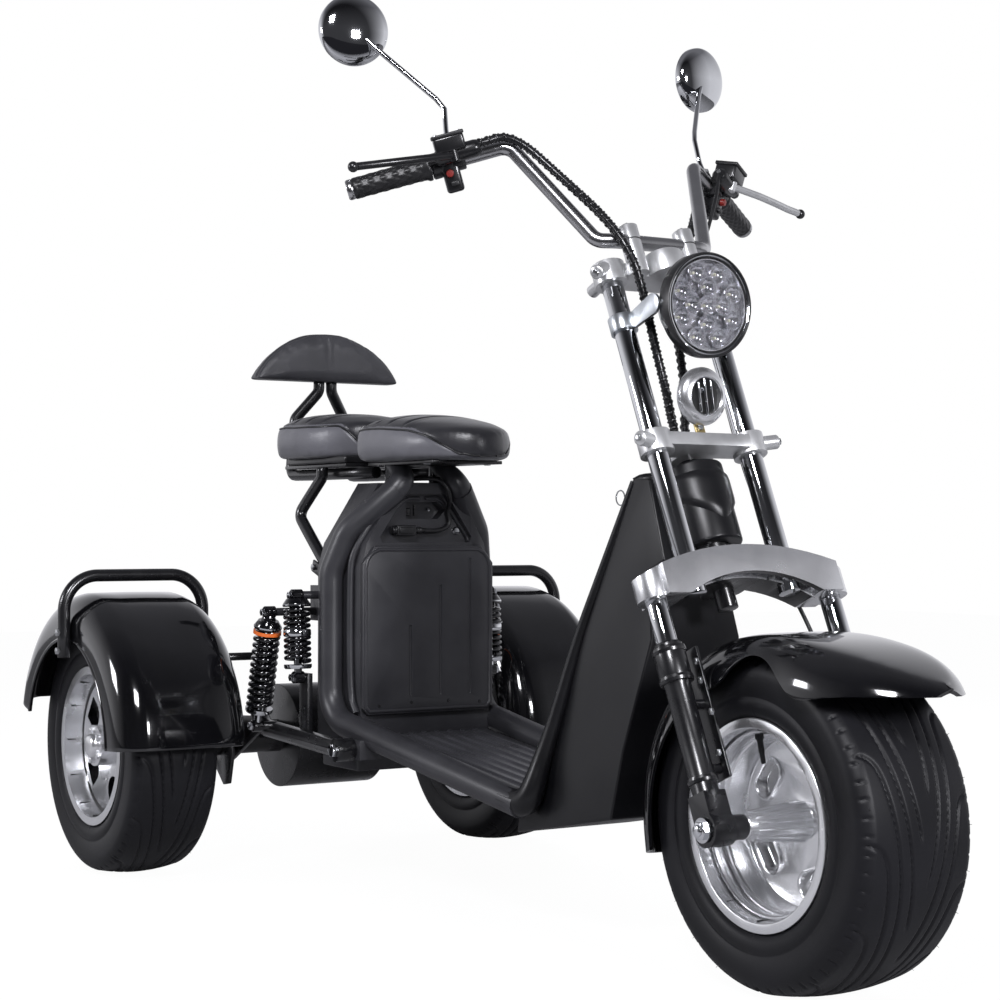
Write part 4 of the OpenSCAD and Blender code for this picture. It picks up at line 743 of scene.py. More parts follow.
for reach, spin_at in cup_rows:
    spot = lamp_face @ mm(reach * math.cos(spin_at), reach * math.sin(spin_at), -13.2)
    merged(bm, spun(cup, 28), spot)
    merged(bm, spun([(2.2, 0), (2.2, 1.4), (1.6, 2.4), (0, 2.8)], 12), spot, 1)
piece("headlamp_cups", bm, (reflector, diode), "steering")
lens, lens_shader, place = finish("clear_glass", Roughness=0.02, IOR=1.18, Transmission_Weight=1.0, Coat_Weight=0.6,
                                  Coat_Roughness=0.02)
place.noise(40.0, 3.0).ramp(0.3, 0.7, (0.93, 0.94, 0.96), (0.99, 0.99, 1)).into(lens_shader, "Base Color")
pane = [(0, 1.2), (34, 0.4), (58, -1), (68.4, -2.2), (68.4, -3.6), (58, -2.4), (34, -1), (0, -0.2)]
piece("headlamp_lens", joined((spun(pane, 72), lamp_face)), lens, "steering", ("headlamp_glass",))

# Horn: a polished trumpet cover with three chromed bars over its mouth, whose dark inside is a disc in
# painted shade, on a brass coloured steel strap that is bolted to the lower clamp.
brass = worked("yellow_zinc", (0.42, 0.33, 0.14), (0.56, 0.45, 0.22), 60.0, 0.34, 0.16, Metallic=1.0)
horn_face = aimed(on_fork(38, 0, 616), (1, 0, 0))
cover = [(26, -9), (26.5, -1), (28.5, 1.5), (33, 0.5), (39, -4.5), (42, -10), (41.6, -16), (35, -22), (26, -24)]
cover += [(25, -36), (0, -36)]
bar_lean = Matrix.Rotation(math.radians(8), 4, "Z")
bm = joined(
    (spun(cover, 64), horn_face, 4),
    (spun([(0, -8.5), (26.2, -8.5)], 48), horn_face, 1),
    *((block(52 - abs(k) * 8, 3.8, 5, 1.4), horn_face @ bar_lean @ mm(0, k * 11, -3)) for k in (-1, 0, 1)),
    (spun([(0, -5), (4, -5.5), (5, -8.5), (0, -8.5)], 16), horn_face @ mm(8, 5, 0)),
    (block(3.6, 17, 70, 1.2), FORK @ mm(4, 0, 602), 2),
    (hex_head(5, 4), FORK @ mm(7, 0, 582) @ TURN_UP, 3),
)
piece("horn_cover", bm, (chrome, dark_gap, brass, steel, polished), "steering", ("horn",))


# Cords of the handlebar: two bundles of leads in black spiral wrap, and the hydraulic hose of the front
# brake. They are tied along the bar and the fork and end in the neck and at the caliper.
def eased(points, times=3):
    """A route with its corners cut again and again."""
    for _ in range(times):
        cut = [points[0]]
        for a, b in zip(points, points[1:]):
            cut += [a.lerp(b, 0.25), a.lerp(b, 0.75)]
        points = cut + [points[-1]]
    return points


def winding(points, reach, pitch, per_turn=10):
    """Points of a helix about a route."""
    spots, gone = [], 0.0
    side = Vector((0, 0, 1)).cross(points[1] - points[0]).normalized()
    for a, b in zip(points, points[1:]):
        way = (b - a).normalized()
        side = (side - way * side.dot(way)).normalized()
        count = max(1, round((b - a).length / abs(pitch) * per_turn))
        for k in range(count):
            turn_at = math.tau * (gone + (b - a).length * k / count) / pitch
            out = side * math.cos(turn_at) + way.cross(side) * math.sin(turn_at)
            spots.append(a.lerp(b, k / count) + out * reach)
        gone += (b - a).length
    return spots


BAR_UP = 1176


def cord_run(start, bar_run, fork_run, last, side):
    """A route from a control: straight out of it, along the bar, down the fork and to its end."""
    by_bar = [at(WHEELBASE + x, y, BAR_UP + z) for x, y, z in bar_run]
    return [start, start - sided(bar_way, side) * 0.014] + by_bar + [on_fork(*p) for p in fork_run] + [last]


master_end = BAR_END - bar_way * 180.45 + bar_up * 15 + bar_fore * 25
pod_end = BAR_END - bar_way * 155.45 - bar_up * 36
stem_x = -40
stem_top = on_fork(stem_x, 0, 574.15)
bundles = (
    cord_run(on_side(master_end, -1), ((-456, -176, 26), (-398, -120, -48), (-330, -94, -110), (-292, -76, -164)),
             ((30, -56, 777), (16, -50, 707), (0, -38, 647), (-26, -20, 618), (-40, -9, 600)),
             stem_top + aside(-9), -1),
    cord_run(on_side(pod_end, 1), ((-472, 180, -52), (-422, 130, -106)),
             ((-46, 92, 890), (-40, 56, 850), (-38, 46, 800), (-36, 38, 720), (-36, 22, 640), (-40, 9, 600)),
             stem_top + aside(9), 1),
)
wrap = worked("spiral_wrap", (0.006, 0.006, 0.007), (0.011, 0.011, 0.012), 60.0, 0.24, 0.1)
bundle_r, wrap_pitch = 0.0058, 0.0125
bm = bmesh.new()
for bundle in bundles:
    run = eased(bundle)
    merged(bm, tube(run, bundle_r, 12))
    merged(bm, tube(winding(run, bundle_r, wrap_pitch), 0.0019, 6))
    merged(bm, tube(winding(run, bundle_r, -wrap_pitch), 0.0011, 6))
piece("lead_bundles", bm, wrap, "steering", ("cable_bundles",), 60.0)
hose = cord_run(on_side(master_end, 1), ((-430, 186, -46),),
                ((-56, 140, 900), (-40, 122, 828), (-40, 104, 720), (-40, 98, 540), (-44, 116, 430), (-46, 128, 350),
                 (-42, 140, 290), (-38, 146, 220), (-44, 140, 130), (-56, 118, 106)), on_fork(-54, 119, 84.15), 1)
ferrule = [(0, -1), (4.6, -1), (4.6, 9), (3.4, 11), (3.4, 16), (0, 16)]
bm = joined((tube(eased(hose), 0.003, 12),),
            (spun(ferrule, 20), aimed(hose[0], hose[1] - hose[0]), 1),
            (spun(ferrule, 20), aimed(hose[-1], hose[-2] - hose[-1]), 1))
piece("hydraulic_hose", bm, (moulded, steel), "steering", ("brake_hose",), 60.0)


# Front fender: a gloss black shell over the tyre with a lobe each side and a narrow drooping nose.
# Black steel stays bolt it to the sliders, and the left one shares its foot with the brake caliper.
def smoothed(node, materials, levels=1, sharp=40.0):
    """A solid that is swept or lofted in flat facets, made into quads and rounded; its sharp edges stay."""
    bm = solid(node)
    bmesh.ops.join_triangles(bm, faces=bm.faces, angle_face_threshold=math.radians(24),
                             angle_shape_threshold=math.radians(75))
    crease = bm.edges.layers.float.new("crease_edge")
    for edge in bm.edges:
        if not edge.is_manifold or edge.calc_face_angle() > math.radians(sharp):
            edge[crease] = 1.0
    made = piece(node + "_body", bm, materials, body_of(node), (node,), sharp)
    rounding = made.modifiers.new("rounding", "SUBSURF")
    rounding.levels = rounding.render_levels = levels


smoothed("front_fender", gloss, 2, 50.0)
stay_extra = [(hex_head(5, 4), aimed(on_fork(x, side * 135, z), (0, side, 0)), 1)
              for side in (-1, 1) for x, z in ((24, 196), (26, 222), (30, 150), (22, 96))]
dress("fender_stays", (satin, steel), 0.0012, extra=stay_extra)
caliper_extra = [(hex_head(6, 6), aimed(on_fork(x, 128, z), (0, 1, 0)), 1) for x, z in ((-68, 48), (-40, 74))]
dress("brake_caliper_front", (satin, steel), 0.003, segments=3, extra=caliper_extra)

# Neck: the frame's head tube in a moulded hood, and behind it the tall leg shield with a rolled bead
# round its rear edge. The ignition lock with its key stands in that edge.
grained = worked("grained_plastic", (0.02, 0.02, 0.023), (0.03, 0.03, 0.034), 16.0, 0.38, 0.12, (900.0, 0.2, 0.0004),
                 Specular_IOR_Level=0.5)
smooth_black = worked("smooth_plastic", (0.003, 0.003, 0.004), (0.006, 0.006, 0.007), 12.0, 0.34, 0.1,
                      (900.0, 0.08, 0.0003), Specular_IOR_Level=0.34)
dress("head_tube", satin, 0.001)
hood_top, hood_r, hood_in_r, hood_drop, hood_wrap, hood_rim = 522, 50.5, 45, 84, math.radians(100), 3
hood_across, hood_up = 32, 8
hood_bm = bmesh.new()
rows = []
for i in range(hood_across + 1):
    lean = 2 * i / hood_across - 1
    foot = hood_top - hood_drop + hood_drop * 0.62 * abs(lean)
    row = []
    for j in range(hood_up + 1):
        from_edge = min(i, hood_across - i, j, hood_up - j)
        r = hood_in_r if from_edge == 0 else hood_r - (0.8 if from_edge == 1 else 0)
        z = foot + (hood_top - hood_rim - foot) * j / hood_up
        place = on_fork(stem_x + r * math.cos(hood_wrap * lean), r * math.sin(hood_wrap * lean), z)
        row.append(hood_bm.verts.new(place))
    rows.append(row)
for a, b in zip(rows, rows[1:]):
    for j in range(hood_up):
        hood_bm.faces.new((a[j], b[j], b[j + 1], a[j + 1]))
dress("neck_hood", smooth_black, 0.004, segments=4, extra=[(hood_bm,)])


def route(rows, side=1):
    """Places in millimetres from the rear axle on one side, each with a radius where its row gives one."""
    return [Vector((*at(x, side * y, z), *(r / 1000 for r in radius))) for x, y, z, *radius in rows]


edge_rows = ((862, 129.4, 207.7, 22), (898, 128, 202.5, 22), (917, 126, 212, 20.5), (925, 120, 236, 18),
             (929, 111, 268, 15), (944, 101, 318, 12), (980, 80, 452, 9), (1030, 67, 562, 8), (1084, 52, 684, 7))
top_rows = ((1084, -52, 684), (1092, -40, 692), (1092, 40, 692), (1084, 52, 684))
shield_extra = [(tube(eased(route(edge_rows, side), 2), 0.01, 16),) for side in (-1, 1)]
shield_extra.append((tube(eased(route(top_rows), 2), 0.007, 12),))
dress("leg_shield", smooth_black, 0.012, 30.0, 4, extra=shield_extra)
low, high = corners("ignition_lock")
lock_way = Vector((-0.909, 0, 0.416))
lock_face = aimed((low + high) / 2 + lock_way * 0.016, lock_way)
lock_rim = [(0, 2), (6, 2), (7.5, 1), (9, 0), (10.5, -3), (0, -3)]
ring_r, ring_turns = 0.011, np.linspace(0, math.tau, 24, endpoint=False)
key_ring = [Vector((ring_r * math.cos(t), 0, ring_r * math.sin(t))) for t in ring_turns]
lock_extra = [(spun(lock_rim, 28), lock_face, 1),
              (block(11, 2.4, 24, 1), lock_face @ mm(0, 0, 13), 1),
              (tube(key_ring, 0.0011, 8, True), lock_face @ mm(0, 0, 34), 1)]
dress("ignition_lock", (satin, chrome), 0.001, extra=lock_extra)

# Seat column: a moulded shell on the frame, with wide rolled rails that run on forward as the floor's edges
# and a second thin bead inside each rail.
inner_rows = ((388, 133, 300), (366, 134, 330), (366, 134, 540), (368, 130, 572), (376, 114, 604), (394, 62, 690))
neck_rows = ((377, 96.5, 648.5, 22), (402, 65, 683, 22), (404, 52, 700, 21), (386, 46, 714, 19.5),
             (366, 44.4, 727, 18.4))
recess_rows = ((381.5, 6, 669), (381.5, 40, 669), (384, 90, 603), (386, 90, 594))
beads = []
for side in (-1, 1):
    beads.append((tube(eased(route(inner_rows, side), 3), 0.0062, 12),))
    beads.append((tube(eased(route(neck_rows, side), 2), 0.02, 24),))
    beads.append((tube(eased(route(recess_rows, side), 2), 0.0034, 10),))
dress("body_shell", grained, 0.003, segments=3, extra=beads)

# Battery cover: a flat moulded panel with clipped corners and three pressed grooves, held by small screws.
# Above it, in the recess, lie the charging plug with its lead, the latch of the handle and a small lock.
screw = [(0, 1.2), (2.4, 1), (3, 0), (0, 0)]
cover_extra = [(spun(screw, 16), aimed(at(405.4, y, z), (1, 0, 0)), 1)
               for y, z in ((-98, 312), (-34, 316), (40, 316), (104, 312))]
low, high = corners("battery_cover")
edge_in, clip_in, clip_down, bend_l = 0.006, 0.024, 0.028, 0.008
outline = [(low.y + edge_in, low.z + edge_in), (high.y - edge_in, low.z + edge_in),
           (high.y - edge_in, high.z - clip_down), (high.y - clip_in, high.z - edge_in),
           (low.y + clip_in, high.z - edge_in), (low.y + edge_in, high.z - clip_down)]
outline = [Vector((high.x - 0.001, y, z)) for y, z in outline]
rim_bead = []
for before, here, after in zip(outline[-1:] + outline, outline, outline[1:] + outline[:1]):
    rim_bead += [here + (before - here).normalized() * bend_l, here + (after - here).normalized() * bend_l]
cover_extra.append((tube(rim_bead, 0.0036, 12, True),))
dress("battery_cover", (grained, satin), 0.0035, segments=3, extra=cover_extra)
relief = [(0, 0), (6, 0), (6, 3), (4.6, 3.6), (4.6, 5), (5.8, 5.6), (5.8, 8), (4.6, 8.6), (4.6, 10), (5.6, 10.6)]
relief += [(5.6, 13), (4.4, 13.6), (4.4, 20), (0, 20)]
plug_end = at(388.15, -19.85, 613)
plug_extra = [(spun(relief, 24), aimed(plug_end, (0, 1, 0))),
              (block(4, 26, 11, 1.2), Matrix.Translation(at(397, -41, 613)))]
dress("battery_plug", moulded, 0.0022, segments=3, extra=plug_extra)
lead_rows = ((388, 30, 612), (386, 54, 622), (386, 50, 642), (394, 46, 656), (411, 40, 668), (412, 34, 686),
             (404, 22, 703), (388, 4, 704), (378, -16, 703))
lead = [plug_end, plug_end + aside(14)] + route(lead_rows)
piece("charging_lead", joined((tube(eased(lead), 0.004, 14),)), moulded, "chassis", ("battery_lead",), 60.0)
bm = joined((block(12, 16, 14, 2), Matrix.Translation(at(366, -26, 645))),
            (block(5, 3, 20, 1), Matrix.Translation(at(373, -12, 648))),
            (spun([(0, 3), (5, 2.6), (7, 0), (7, -5), (0, -5)], 24), aimed(at(383, 68, 612), (1, 0, 0)), 1),
            (spun([(0, 4), (3, 3.4), (4, 0), (0, -2)], 20), aimed(at(360, 24, 650), (1, 0, 0)), 1))
piece("handle_latch", bm, (satin, chrome), "chassis")

# Footboard: a moulded floor with raised ribs along it, rubbed smooth where feet rest.
# It lies between the column's rails and runs up to the leg shield.
rubbed = worked("rubbed_plastic", (0.04, 0.04, 0.045), (0.062, 0.062, 0.07), 9.0, 0.3, 0.18, (700.0, 0.14, 0.0004))
dress("footboard", rubbed, 0.0014, segments=3)

# Seat carrier: a black tube and plate frame on two posts, with bent struts down to the column
# and the A shaped tubes of the backrest. Its plates are drawn in to stay under the saddles.
plate_extra = [(hex_head(6, 5), aimed(at(x, y, 727), (0, 0, -1)), 1) for y in (-60, 60) for x in (340, 500)]
carrier = dress("seat_frame", (satin, steel), 0.0015, extra=plate_extra)
plate_from, plate_low, plate_high, plate_share = 0.0745, 0.7255, 0.7322, 0.86
for vert in carrier.data.vertices:
    if abs(vert.co.y) > plate_from and plate_low < vert.co.z < plate_high:
        vert.co.y *= plate_share
smoothed("backrest_frame", satin)
smoothed("seat_struts", satin)
foot_lean = Matrix.Rotation(math.radians(20), 4, "Y")
bm = bmesh.new()
for side in (-1, 1):
    merged(bm, block(62, 5, 22, 2), Matrix.Translation(at(236, side * 124, 540)) @ foot_lean)
    for x, z in ((216, 547), (252, 534)):
        merged(bm, hex_head(6, 5), aimed(at(x, side * 128.5, z), (0, side, 0)), 1)
piece("strut_feet", bm, (satin, steel), "chassis")


# Saddles: foam pads under artificial leather, each on a hidden pan. The top panel is sewn in channels across
# the seat, and a piped seam parts it from the side panels and sweeps down to the nose.
def stuffed(bm, voxel, cap, levels):
    """Padding over a closed shape: an even skin of it, blown up as cloth within a cap on a held base, subdivided."""
    mesh = bpy.data.meshes.new("pad")
    bm.to_mesh(mesh)
    bm.free()
    pad = bpy.data.objects.new("pad", mesh)
    scene.collection.objects.link(pad)
    even = pad.modifiers.new("even", "REMESH")
    even.mode, even.voxel_size = "VOXEL", voxel
    made = bpy.data.meshes.new_from_object(pad.evaluated_get(bpy.context.evaluated_depsgraph_get()))
    pad.modifiers.clear()
    pad.data = made

    def calmed(times=3):
        bm = bmesh.new()
        bm.from_mesh(made)
        for _ in range(times):
            bmesh.ops.smooth_vert(bm, verts=bm.verts, factor=0.5, use_axis_x=True, use_axis_y=True, use_axis_z=True)
        bm.to_mesh(made)
        bm.free()

    calmed()
    count = len(made.vertices)
    rest = np.empty(count * 3)
    made.vertices.foreach_get("co", rest)
    rest = rest.reshape(-1, 3)
    held = pad.vertex_groups.new(name="base")
    base_z = rest[:, 2].min() + 0.006
    held.add([int(i) for i in np.nonzero(rest[:, 2] < base_z)[0]], 1.0, "REPLACE")
    cloth = pad.modifiers.new("cloth", "CLOTH")
    cloth.settings.use_pressure = True
    cloth.settings.uniform_pressure_force = 4.0
    cloth.settings.quality = 4
    cloth.settings.vertex_group_mass = "base"
    cloth.settings.effector_weights.gravity = 0.0
    for step in range(1, 21):
        scene.frame_set(step)
    blown = pad.evaluated_get(bpy.context.evaluated_depsgraph_get()).to_mesh()
    swollen = np.empty(count * 3)
    blown.vertices.foreach_get("co", swollen)
    moved = swollen.reshape(-1, 3) - rest
    size = np.linalg.norm(moved, axis=1, keepdims=True)
    rest = rest + moved * np.minimum(1.0, cap / np.maximum(size, 1e-9))
    scene.frame_set(1)
    pad.modifiers.clear()
    made.vertices.foreach_set("co", rest.ravel())
    calmed()
    finer = pad.modifiers.new("finer", "SUBSURF")
    finer.levels = finer.render_levels = levels
    fine = bpy.data.meshes.new_from_object(pad.evaluated_get(bpy.context.evaluated_depsgraph_get()))
    bpy.data.objects.remove(pad)
    bpy.data.meshes.remove(made)
    return fine


def upholstered(name, mesh, draw, materials, node, panel=None):
    """Draws the leather in along its normals by a distance at each vertex, parts its panels and makes the piece."""
    count = len(mesh.vertices)
    spots, ways = np.empty(count * 3), np.empty(count * 3)
    mesh.vertices.foreach_get("co", spots)
    mesh.vertices.foreach_get("normal", ways)
    spots, ways = spots.reshape(-1, 3), ways.reshape(-1, 3)
    spots = spots - ways * draw(spots, ways)[:, None]
    mesh.vertices.foreach_set("co", spots.ravel())
    if panel:
        middles = np.empty(len(mesh.polygons) * 3)
        mesh.polygons.foreach_get("center", middles)
        mesh.polygons.foreach_set("material_index", panel(middles.reshape(-1, 3)).astype(np.int32))
    bm = bmesh.new()
    bm.from_mesh(mesh)
    bpy.data.meshes.remove(mesh)
    made = piece(name, bm, materials, "chassis", (node,), 80.0)
    return made


def leather(name, dark, light, low_rough):
    """Artificial leather: a grain of small cells and a few wider creases."""
    made, shader, place = finish(name, Specular_IOR_Level=0.5, Sheen_Weight=0.12, Sheen_Roughness=0.4)
    drifting(place, shader, dark, light, 11.0, 6.0, low_rough, 0.14)
    cells = place.node("ShaderNodeTexVoronoi", None, {"Vector": place, "Scale": 520.0})
    (cells + place.noise(70.0, 4.0) * 0.6).bump(shader, 0.3, 0.0004)
    return made


# One black leather in two copies: the side panels' lighter tone is painted light, and the top panel's darker tone is
# painted shade.
painted_lit_side = leather("saddle_side_leather", (0.098, 0.098, 0.11), (0.13, 0.13, 0.145), 0.28)
painted_shaded_top = leather("saddle_top_leather", (0.018, 0.018, 0.021), (0.03, 0.03, 0.034), 0.27)
piping = worked("saddle_piping", (0.006, 0.006, 0.007), (0.014, 0.014, 0.015), 60.0, 0.3, 0.1)


class Saddle:
    """The lines of a saddle along its length, from u = 0 at the rear to 1 at the nose, in metres."""

    def __init__(self, node, lift, half_w, top, fall, channels, dive):
        low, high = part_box(node)
        whole = high[0] - low[0]
        self.back, self.length, self.base = low[0] + whole * 0.015, whole * 0.97, low[2] + lift
        self.half_w, self.top, self.fall, self.channels, self.dive = half_w, top, fall, channels, dive

    def lines(self, u):
        """The half width, the height of the panels' edge, of the crown and of the seam."""
        rear = np.clip((0.3 - u) / 0.3, 0, 1)
        nose = np.clip(u - 0.36, 0, 0.64) / 0.64
        share = np.maximum(1 - rear ** 5, 0) ** 0.42 * np.maximum(1 - nose ** 2.3, 0) ** 0.6
        crown = self.top * (1 - 0.1 * rear ** 2.5) - self.fall * (np.clip(u - 0.3, 0, 1) / 0.62) ** 1.6
        crown = crown * (1 - 0.2 * np.clip((u - 0.86) / 0.14, 0, 1) ** 3)
        edge = np.maximum(crown - 0.019 * share ** 1.5, 0.018)
        sewn_at = edge * (1 - np.clip((u - self.dive) / (0.96 - self.dive), 0, 1) ** 1.6)
        return self.half_w * share, edge, crown, sewn_at

    def along(self, spots):
        """The u of places on the saddle."""
        return np.clip((spots[:, 0] - self.back) / self.length, 0.001, 0.999)

    def above(self, spots):
        """How far places stand above the seam."""
        return spots[:, 2] - self.base - self.lines(self.along(spots))[3]

    def foam(self):
        """The block of foam, lofted from the rear to the nose."""
        bm = bmesh.new()
        rows = []
        for u in (1 - np.cos(np.linspace(0.06, math.pi - 0.06, 61))) / 2:
            wide, edge, crown, _ = self.lines(u)
            over = [(v * wide, edge + (crown - edge) * (1 - abs(v) ** 2.2)) for v in np.linspace(-1, 1, 25)]
            down = [(wide * (1 + 0.035 * math.sin(math.pi * t)), edge * (1 - t)) for t in (0.2, 0.4, 0.6, 0.8)]
            under = [(v * wide * 0.98, 0.0) for v in np.linspace(1, -1, 9)]
            ring = over + down + under + [(-y, z) for y, z in reversed(down)]
            rows.append([bm.verts.new((self.back + self.length * u, y, self.base + z)) for y, z in ring])
        for a, b in zip(rows, rows[1:]):
            for k in range(len(a)):
                bm.faces.new((a[k], a[k - 1], b[k - 1], b[k]))
        bm.faces.new(rows[0])
        bm.faces.new(list(reversed(rows[-1])))
        bmesh.ops.recalc_face_normals(bm, faces=bm.faces)
        return bm

    def draw(self, spots, ways):
        """How far the leather is drawn in at the channels and at the seam."""
        u, above = self.along(spots), self.above(spots)
        topped = np.clip((above - 0.003) / 0.007, 0, 1) * np.clip((ways[:, 2] - 0.25) / 0.3, 0, 1)
        pull = -0.0012 * topped * np.clip((self.channels[-1] + 0.06 - u) / 0.06, 0, 1)
        for place_at in self.channels:
            pull = pull + topped * 0.0042 * np.exp(-((u - place_at) * self.length / 0.0032) ** 2)
        return pull + 0.002 * np.exp(-(above / 0.0035) ** 2) * np.clip((0.9 - ways[:, 2]) / 0.2, 0, 1)

    def seam(self):
        """The run of the piping: back along the right side, round the rear and forward along the left one."""
        us = 0.5 - 0.485 * np.cos(np.linspace(0, math.pi, 70))
        wide, _, _, sewn_at = self.lines(us)
        half = [Vector((self.back + self.length * u, w, self.base + z)) for u, w, z in zip(us, wide, sewn_at)]
        return [sided(p, -1) for p in reversed(half)] + half


saddle_voxel, saddle_swell, piping_r = 0.008, 0.003, 0.0019
saddle_rows = (
    ("seat_passenger", 0.012, 0.117, 0.081, 0.012, (0.14, 0.3, 0.46, 0.62), 0.78),
    ("seat_rider", 0.0, 0.105, 0.079, 0.023, (0.13, 0.27, 0.41, 0.56), 0.62),
)
for node, lift, *lines in saddle_rows:
    saddle = Saddle(node, lift, *lines)
    skin = stuffed(saddle.foam(), saddle_voxel, saddle_swell, 2)
    # Faces above the seam take the painted shade copy of the top, the rest the painted light copy of the sides.
    made = upholstered(node + "_pad", skin, saddle.draw, (painted_lit_side, painted_shaded_top), node,
                       lambda spots: saddle.above(spots) > 0)
    bpy.context.view_layer.update()
    run = []
    for spot in saddle.seam():
        _, spot, way, _ = made.closest_point_on_mesh(spot)
        run.append(spot + way * 0.0005)
    bm = joined((tube(eased(run, 1), piping_r, 10),))
    if lift:
        pan = Matrix.Translation((saddle.back + saddle.length / 2, 0, saddle.base - lift / 2 + 0.001))
        merged(bm, block(saddle.length * 860, saddle.half_w * 1500, lift * 1000 + 2, 4), pan)
    piece(node + "_piping", bm, piping, "chassis", (), 60.0)

# Backrest: a half moon of foam on a board, faced in a finely woven vinyl with a welt round its arc
# and a soft crease in the middle. The board is screwed to the A tubes.
woven, woven_shader, place = finish("woven_vinyl", Specular_IOR_Level=0.5)
drifting(place, woven_shader, (0.03, 0.03, 0.034), (0.054, 0.054, 0.06), 12.0, 5.0, 0.26, 0.14)
parts = place.node("ShaderNodeSeparateXYZ", None, {0: place})
threads = 1900.0
over_y, over_z = parts.output("Y") * threads, parts.output("Z") * threads
(place.math("SINE", over_y + over_z) * place.math("SINE", over_y - over_z)).bump(woven_shader, 0.35, 0.0004)
rest_low, rest_high = (np.array(corner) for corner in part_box("backrest"))
bm = solid("backrest")
slimmed = Vector(((rest_low[0] + rest_high[0]) / 2, 0, rest_low[2]))
bmesh.ops.scale(bm, vec=(0.93, 0.975, 0.97), space=Matrix.Translation(-slimmed), verts=bm.verts)


def welt(gap, width, depth):
    """How far vinyl is drawn in at a distance from a welt, with a low roll beside it."""
    return depth * np.exp(-(gap / width) ** 2) - depth * 0.35 * np.exp(-((gap - width * 2.6) / (width * 1.4)) ** 2)


def creased(spots, ways):
    """How far the vinyl is drawn in at the middle crease, at the welt and low on its face."""
    depth, whole_w, tall = rest_high - rest_low
    facing = np.clip((ways[:, 0] - 0.2) / 0.4, 0, 1)
    lift = np.clip((spots[:, 2] - rest_low[2]) / tall, 0, 1)
    fold = np.exp(-((np.abs(spots[:, 1]) - 0.010 * lift) / 0.006) ** 2) * lift ** 2
    gap = np.abs(spots[:, 0] - rest_high[0] + depth * 0.36)
    round_edge = np.clip((0.75 - np.abs(ways[:, 0])) / 0.2, 0, 1) * np.clip((lift - 0.04) / 0.06, 0, 1)
    dish = 0.004 * (1 - (spots[:, 1] / (whole_w / 2)) ** 2) * facing * (1 - lift)
    return 0.0032 * fold * facing + round_edge * welt(gap, 0.0024, 0.0036) + dish * 0.5


backrest_voxel, backrest_swell = 0.0042, 0.005
upholstered("backrest_pad", stuffed(bm, backrest_voxel, backrest_swell, 1), creased, woven, "backrest")

# Rear end: a swinging tube frame on two pivot bolts carries the axle housing with its motor,
# and the brake brackets stand at its ends. The controller's box hangs on the column.
dress("swing_frame", satin, 0.0012)
dress("rear_axle", satin, 0.0015, segments=3)
dress("brake_brackets", satin, 0.0012)
dress("pivot_bolts", chrome, 0.0012, segments=3)
dress("controller_box", grained, 0.004, segments=3)

# Shocks: two sprung dampers on each side, one upright and one leaning, with gloss black coils, bright cups
# and rods, and an orange collar under the head of the leaning one.
orange = worked("orange_collar", (0.62, 0.12, 0.02), (0.72, 0.16, 0.03), 40.0, 0.35)
cup_r, coil_r, wire_r, coil_gap = 24.2, 0.020, 0.0042, 4.4
shock_eye = [(0, -10.5), (9, -10.5), (10.5, -9), (10.5, 9), (9, 10.5), (0, 10.5)]
shock_rows = (((292, 196, 358), (284, 196, 500), 9.0, False), ((196, 228, 268), (244, 228, 470), 11.5, True))
for node, side in (("shocks_right", -1), ("shocks_left", 1)):
    bm = bmesh.new()
    for foot, head, turns, collared in shock_rows:
        base, top = route((foot, head), side)
        reach = (top - base).length * 1000
        stand = aimed(base, (top - base).normalized())
        low, high, collar, mid = reach * 0.16, reach * 0.86, reach * 0.84, reach * 0.5
        for end in (base, top):
            merged(bm, spun(shock_eye, 28), aimed(end, (0, 1, 0)))
            merged(bm, hex_head(7, 6), aimed(end + aside(side * 13.5), (0, side, 0)), 1)
        sleeve_low = reach * 0.45
        rod = [(0, 4), (7, 4), (7, reach * 0.6), (0, reach * 0.6)]
        sleeve = [(0, sleeve_low), (13, sleeve_low), (13, reach - 12), (9, reach - 4), (0, reach - 4)]
        low_cup = [(7, low - 8), (22, low - 8), (cup_r, low - 5), (cup_r, low), (7, low)]
        high_cup = [(9, high), (cup_r, high), (cup_r, high + 5), (18, high + 14), (9, high + 14)]
        cup_rim = [(23.4, high + 1), (25, high + 2), (25, high + 4), (23.4, high + 5)]
        merged(bm, spun(rod, 24), stand, 1)
        merged(bm, spun(sleeve, 28), stand)
        merged(bm, spun(low_cup, 36), stand, 1)
        merged(bm, spun(high_cup, 36), stand)
        merged(bm, spun(cup_rim, 36), stand, 1)
        if collared:
            merged(bm, spun([(16, collar - 6), (24.6, collar - 6), (24.6, collar), (16, collar)], 36), stand, 2)
        else:
            band = [(18, mid), (23, mid), (cup_r, mid + 2), (cup_r, mid + 10), (23, mid + 12), (18, mid + 12)]
            merged(bm, spun(band, 36), stand, 1)
        steps = int(turns * 20)
        coil_low, coil_high = low + coil_gap, high - coil_gap
        coil = []
        for i in range(steps + 1):
            spin_at = math.tau * turns * i / steps
            up = (coil_low + (coil_high - coil_low) * i / steps) / 1000
            coil.append(stand @ Vector((coil_r * math.cos(spin_at), coil_r * math.sin(spin_at), up)))
        merged(bm, tube(coil, wire_r, 10))
    piece(node + "_set", bm, (gloss, chrome, orange), "chassis", (node,), 40.0)

# Rear fenders: gloss black shells round the rear tyres. Each is bolted under a satin hoop of bent tube
# whose feet are plated to the fender's sides.
crown_r, skin, shoulder, drop, side_low = 273.0, 5.0, 58.0, 84.0, -70
fender_from, fender_turn = math.radians(-3), math.radians(162)


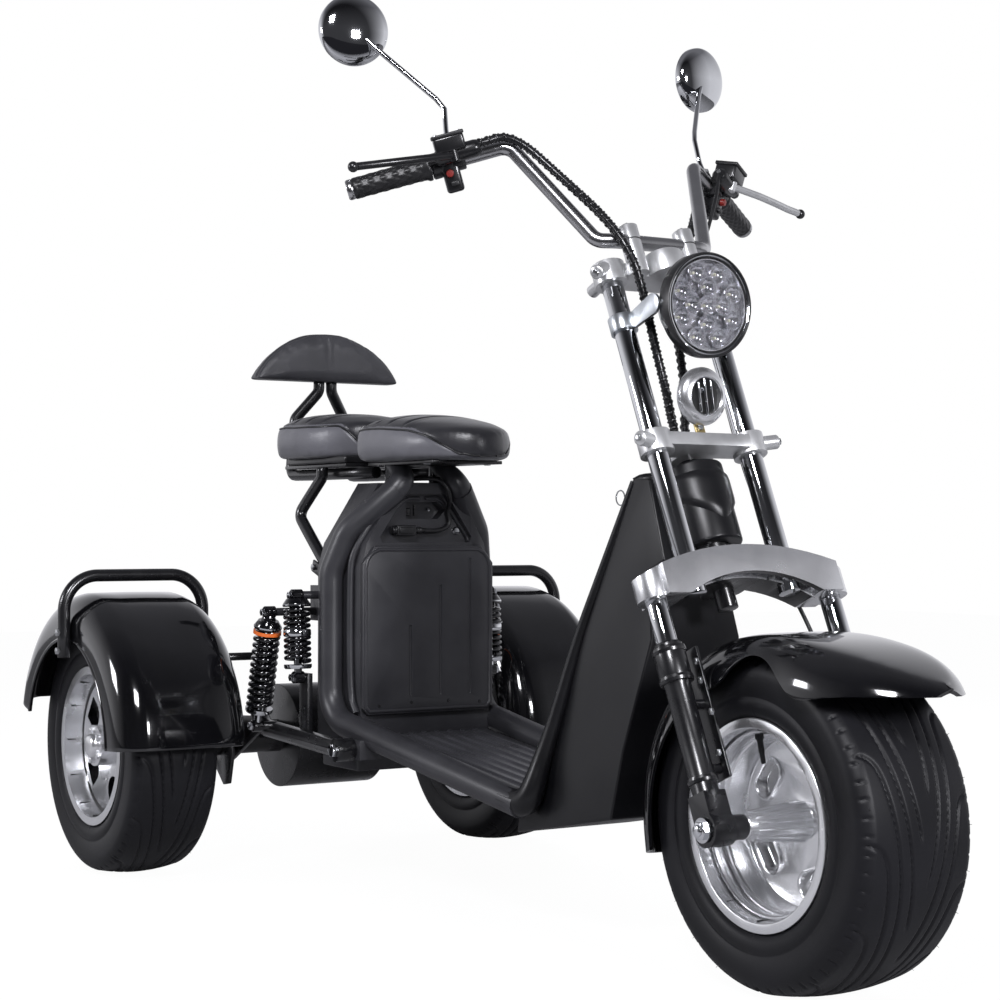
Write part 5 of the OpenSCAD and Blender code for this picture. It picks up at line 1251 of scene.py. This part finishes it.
def shoulder_arc(half_w, r, first, last, count):
    """The rounding between a fender's crown and its side, from one lean to another."""
    leans = np.linspace(math.radians(first), math.radians(last), count)
    return [(half_w - shoulder + r * math.cos(t), -shoulder + r * math.sin(t)) for t in leans]


for node in ("rear_fender_right", "rear_fender_left"):
    low, high = corners(node)
    mid_y, half_w = (low.y + high.y) / 2, (high.y - low.y) * 500
    half = [(0, 0), (20, -0.1), (45, -0.4)] + shoulder_arc(half_w, shoulder, 80, 0, 14)
    half += [(half_w, side_low), (half_w, -drop + 6), (half_w + 2.2, -drop + 4), (half_w + 2.6, -drop + 1.6)]
    half += [(half_w + 0.6, -drop), (half_w - skin, -drop + 1), (half_w - skin, side_low)]
    half += shoulder_arc(half_w, shoulder - skin, 0, 80, 9) + [(0, -skin)]
    section = half + [(-y, z) for y, z in reversed(half[1:-1])]
    axle = at(0, 0, AXLE_UP) + Vector((0, mid_y, 0))
    bm = bmesh.new()
    verts = [bm.verts.new(at(crown_r + z, 0, AXLE_UP) + Vector((0, mid_y + y / 1000, 0))) for y, z in section]
    first = bm.faces.new(verts)
    bmesh.ops.rotate(bm, verts=bm.verts, cent=axle, matrix=Matrix.Rotation(fender_from, 3, "Y"))
    bmesh.ops.spin(bm, geom=[first] + list(first.edges) + verts, cent=axle, axis=(0, -1, 0), dvec=(0, 0, 0),
                   angle=fender_turn, steps=96, use_merge=False, use_duplicate=False)
    bmesh.ops.recalc_face_normals(bm, faces=bm.faces)
    rounded(bm, sharp_edges(bm, 60), 0.0014)
    piece(node + "_shell", bm, gloss, "chassis", (node,), 40.0)
for node in ("hoop_right", "hoop_left"):
    smoothed(node, satin)
    low, high = corners(node)
    bm = bmesh.new()
    for y, out in ((low.y + 0.011, -1), (high.y - 0.011, 1)):
        for up in (0.012, 0.044):
            spot = Vector(((low.x + high.x) / 2, y + out * 0.012, low.z + up))
            merged(bm, hex_head(6.5, 6), aimed(spot, (0, out, 0)))
    piece(node + "_bolts", bm, steel, "chassis")
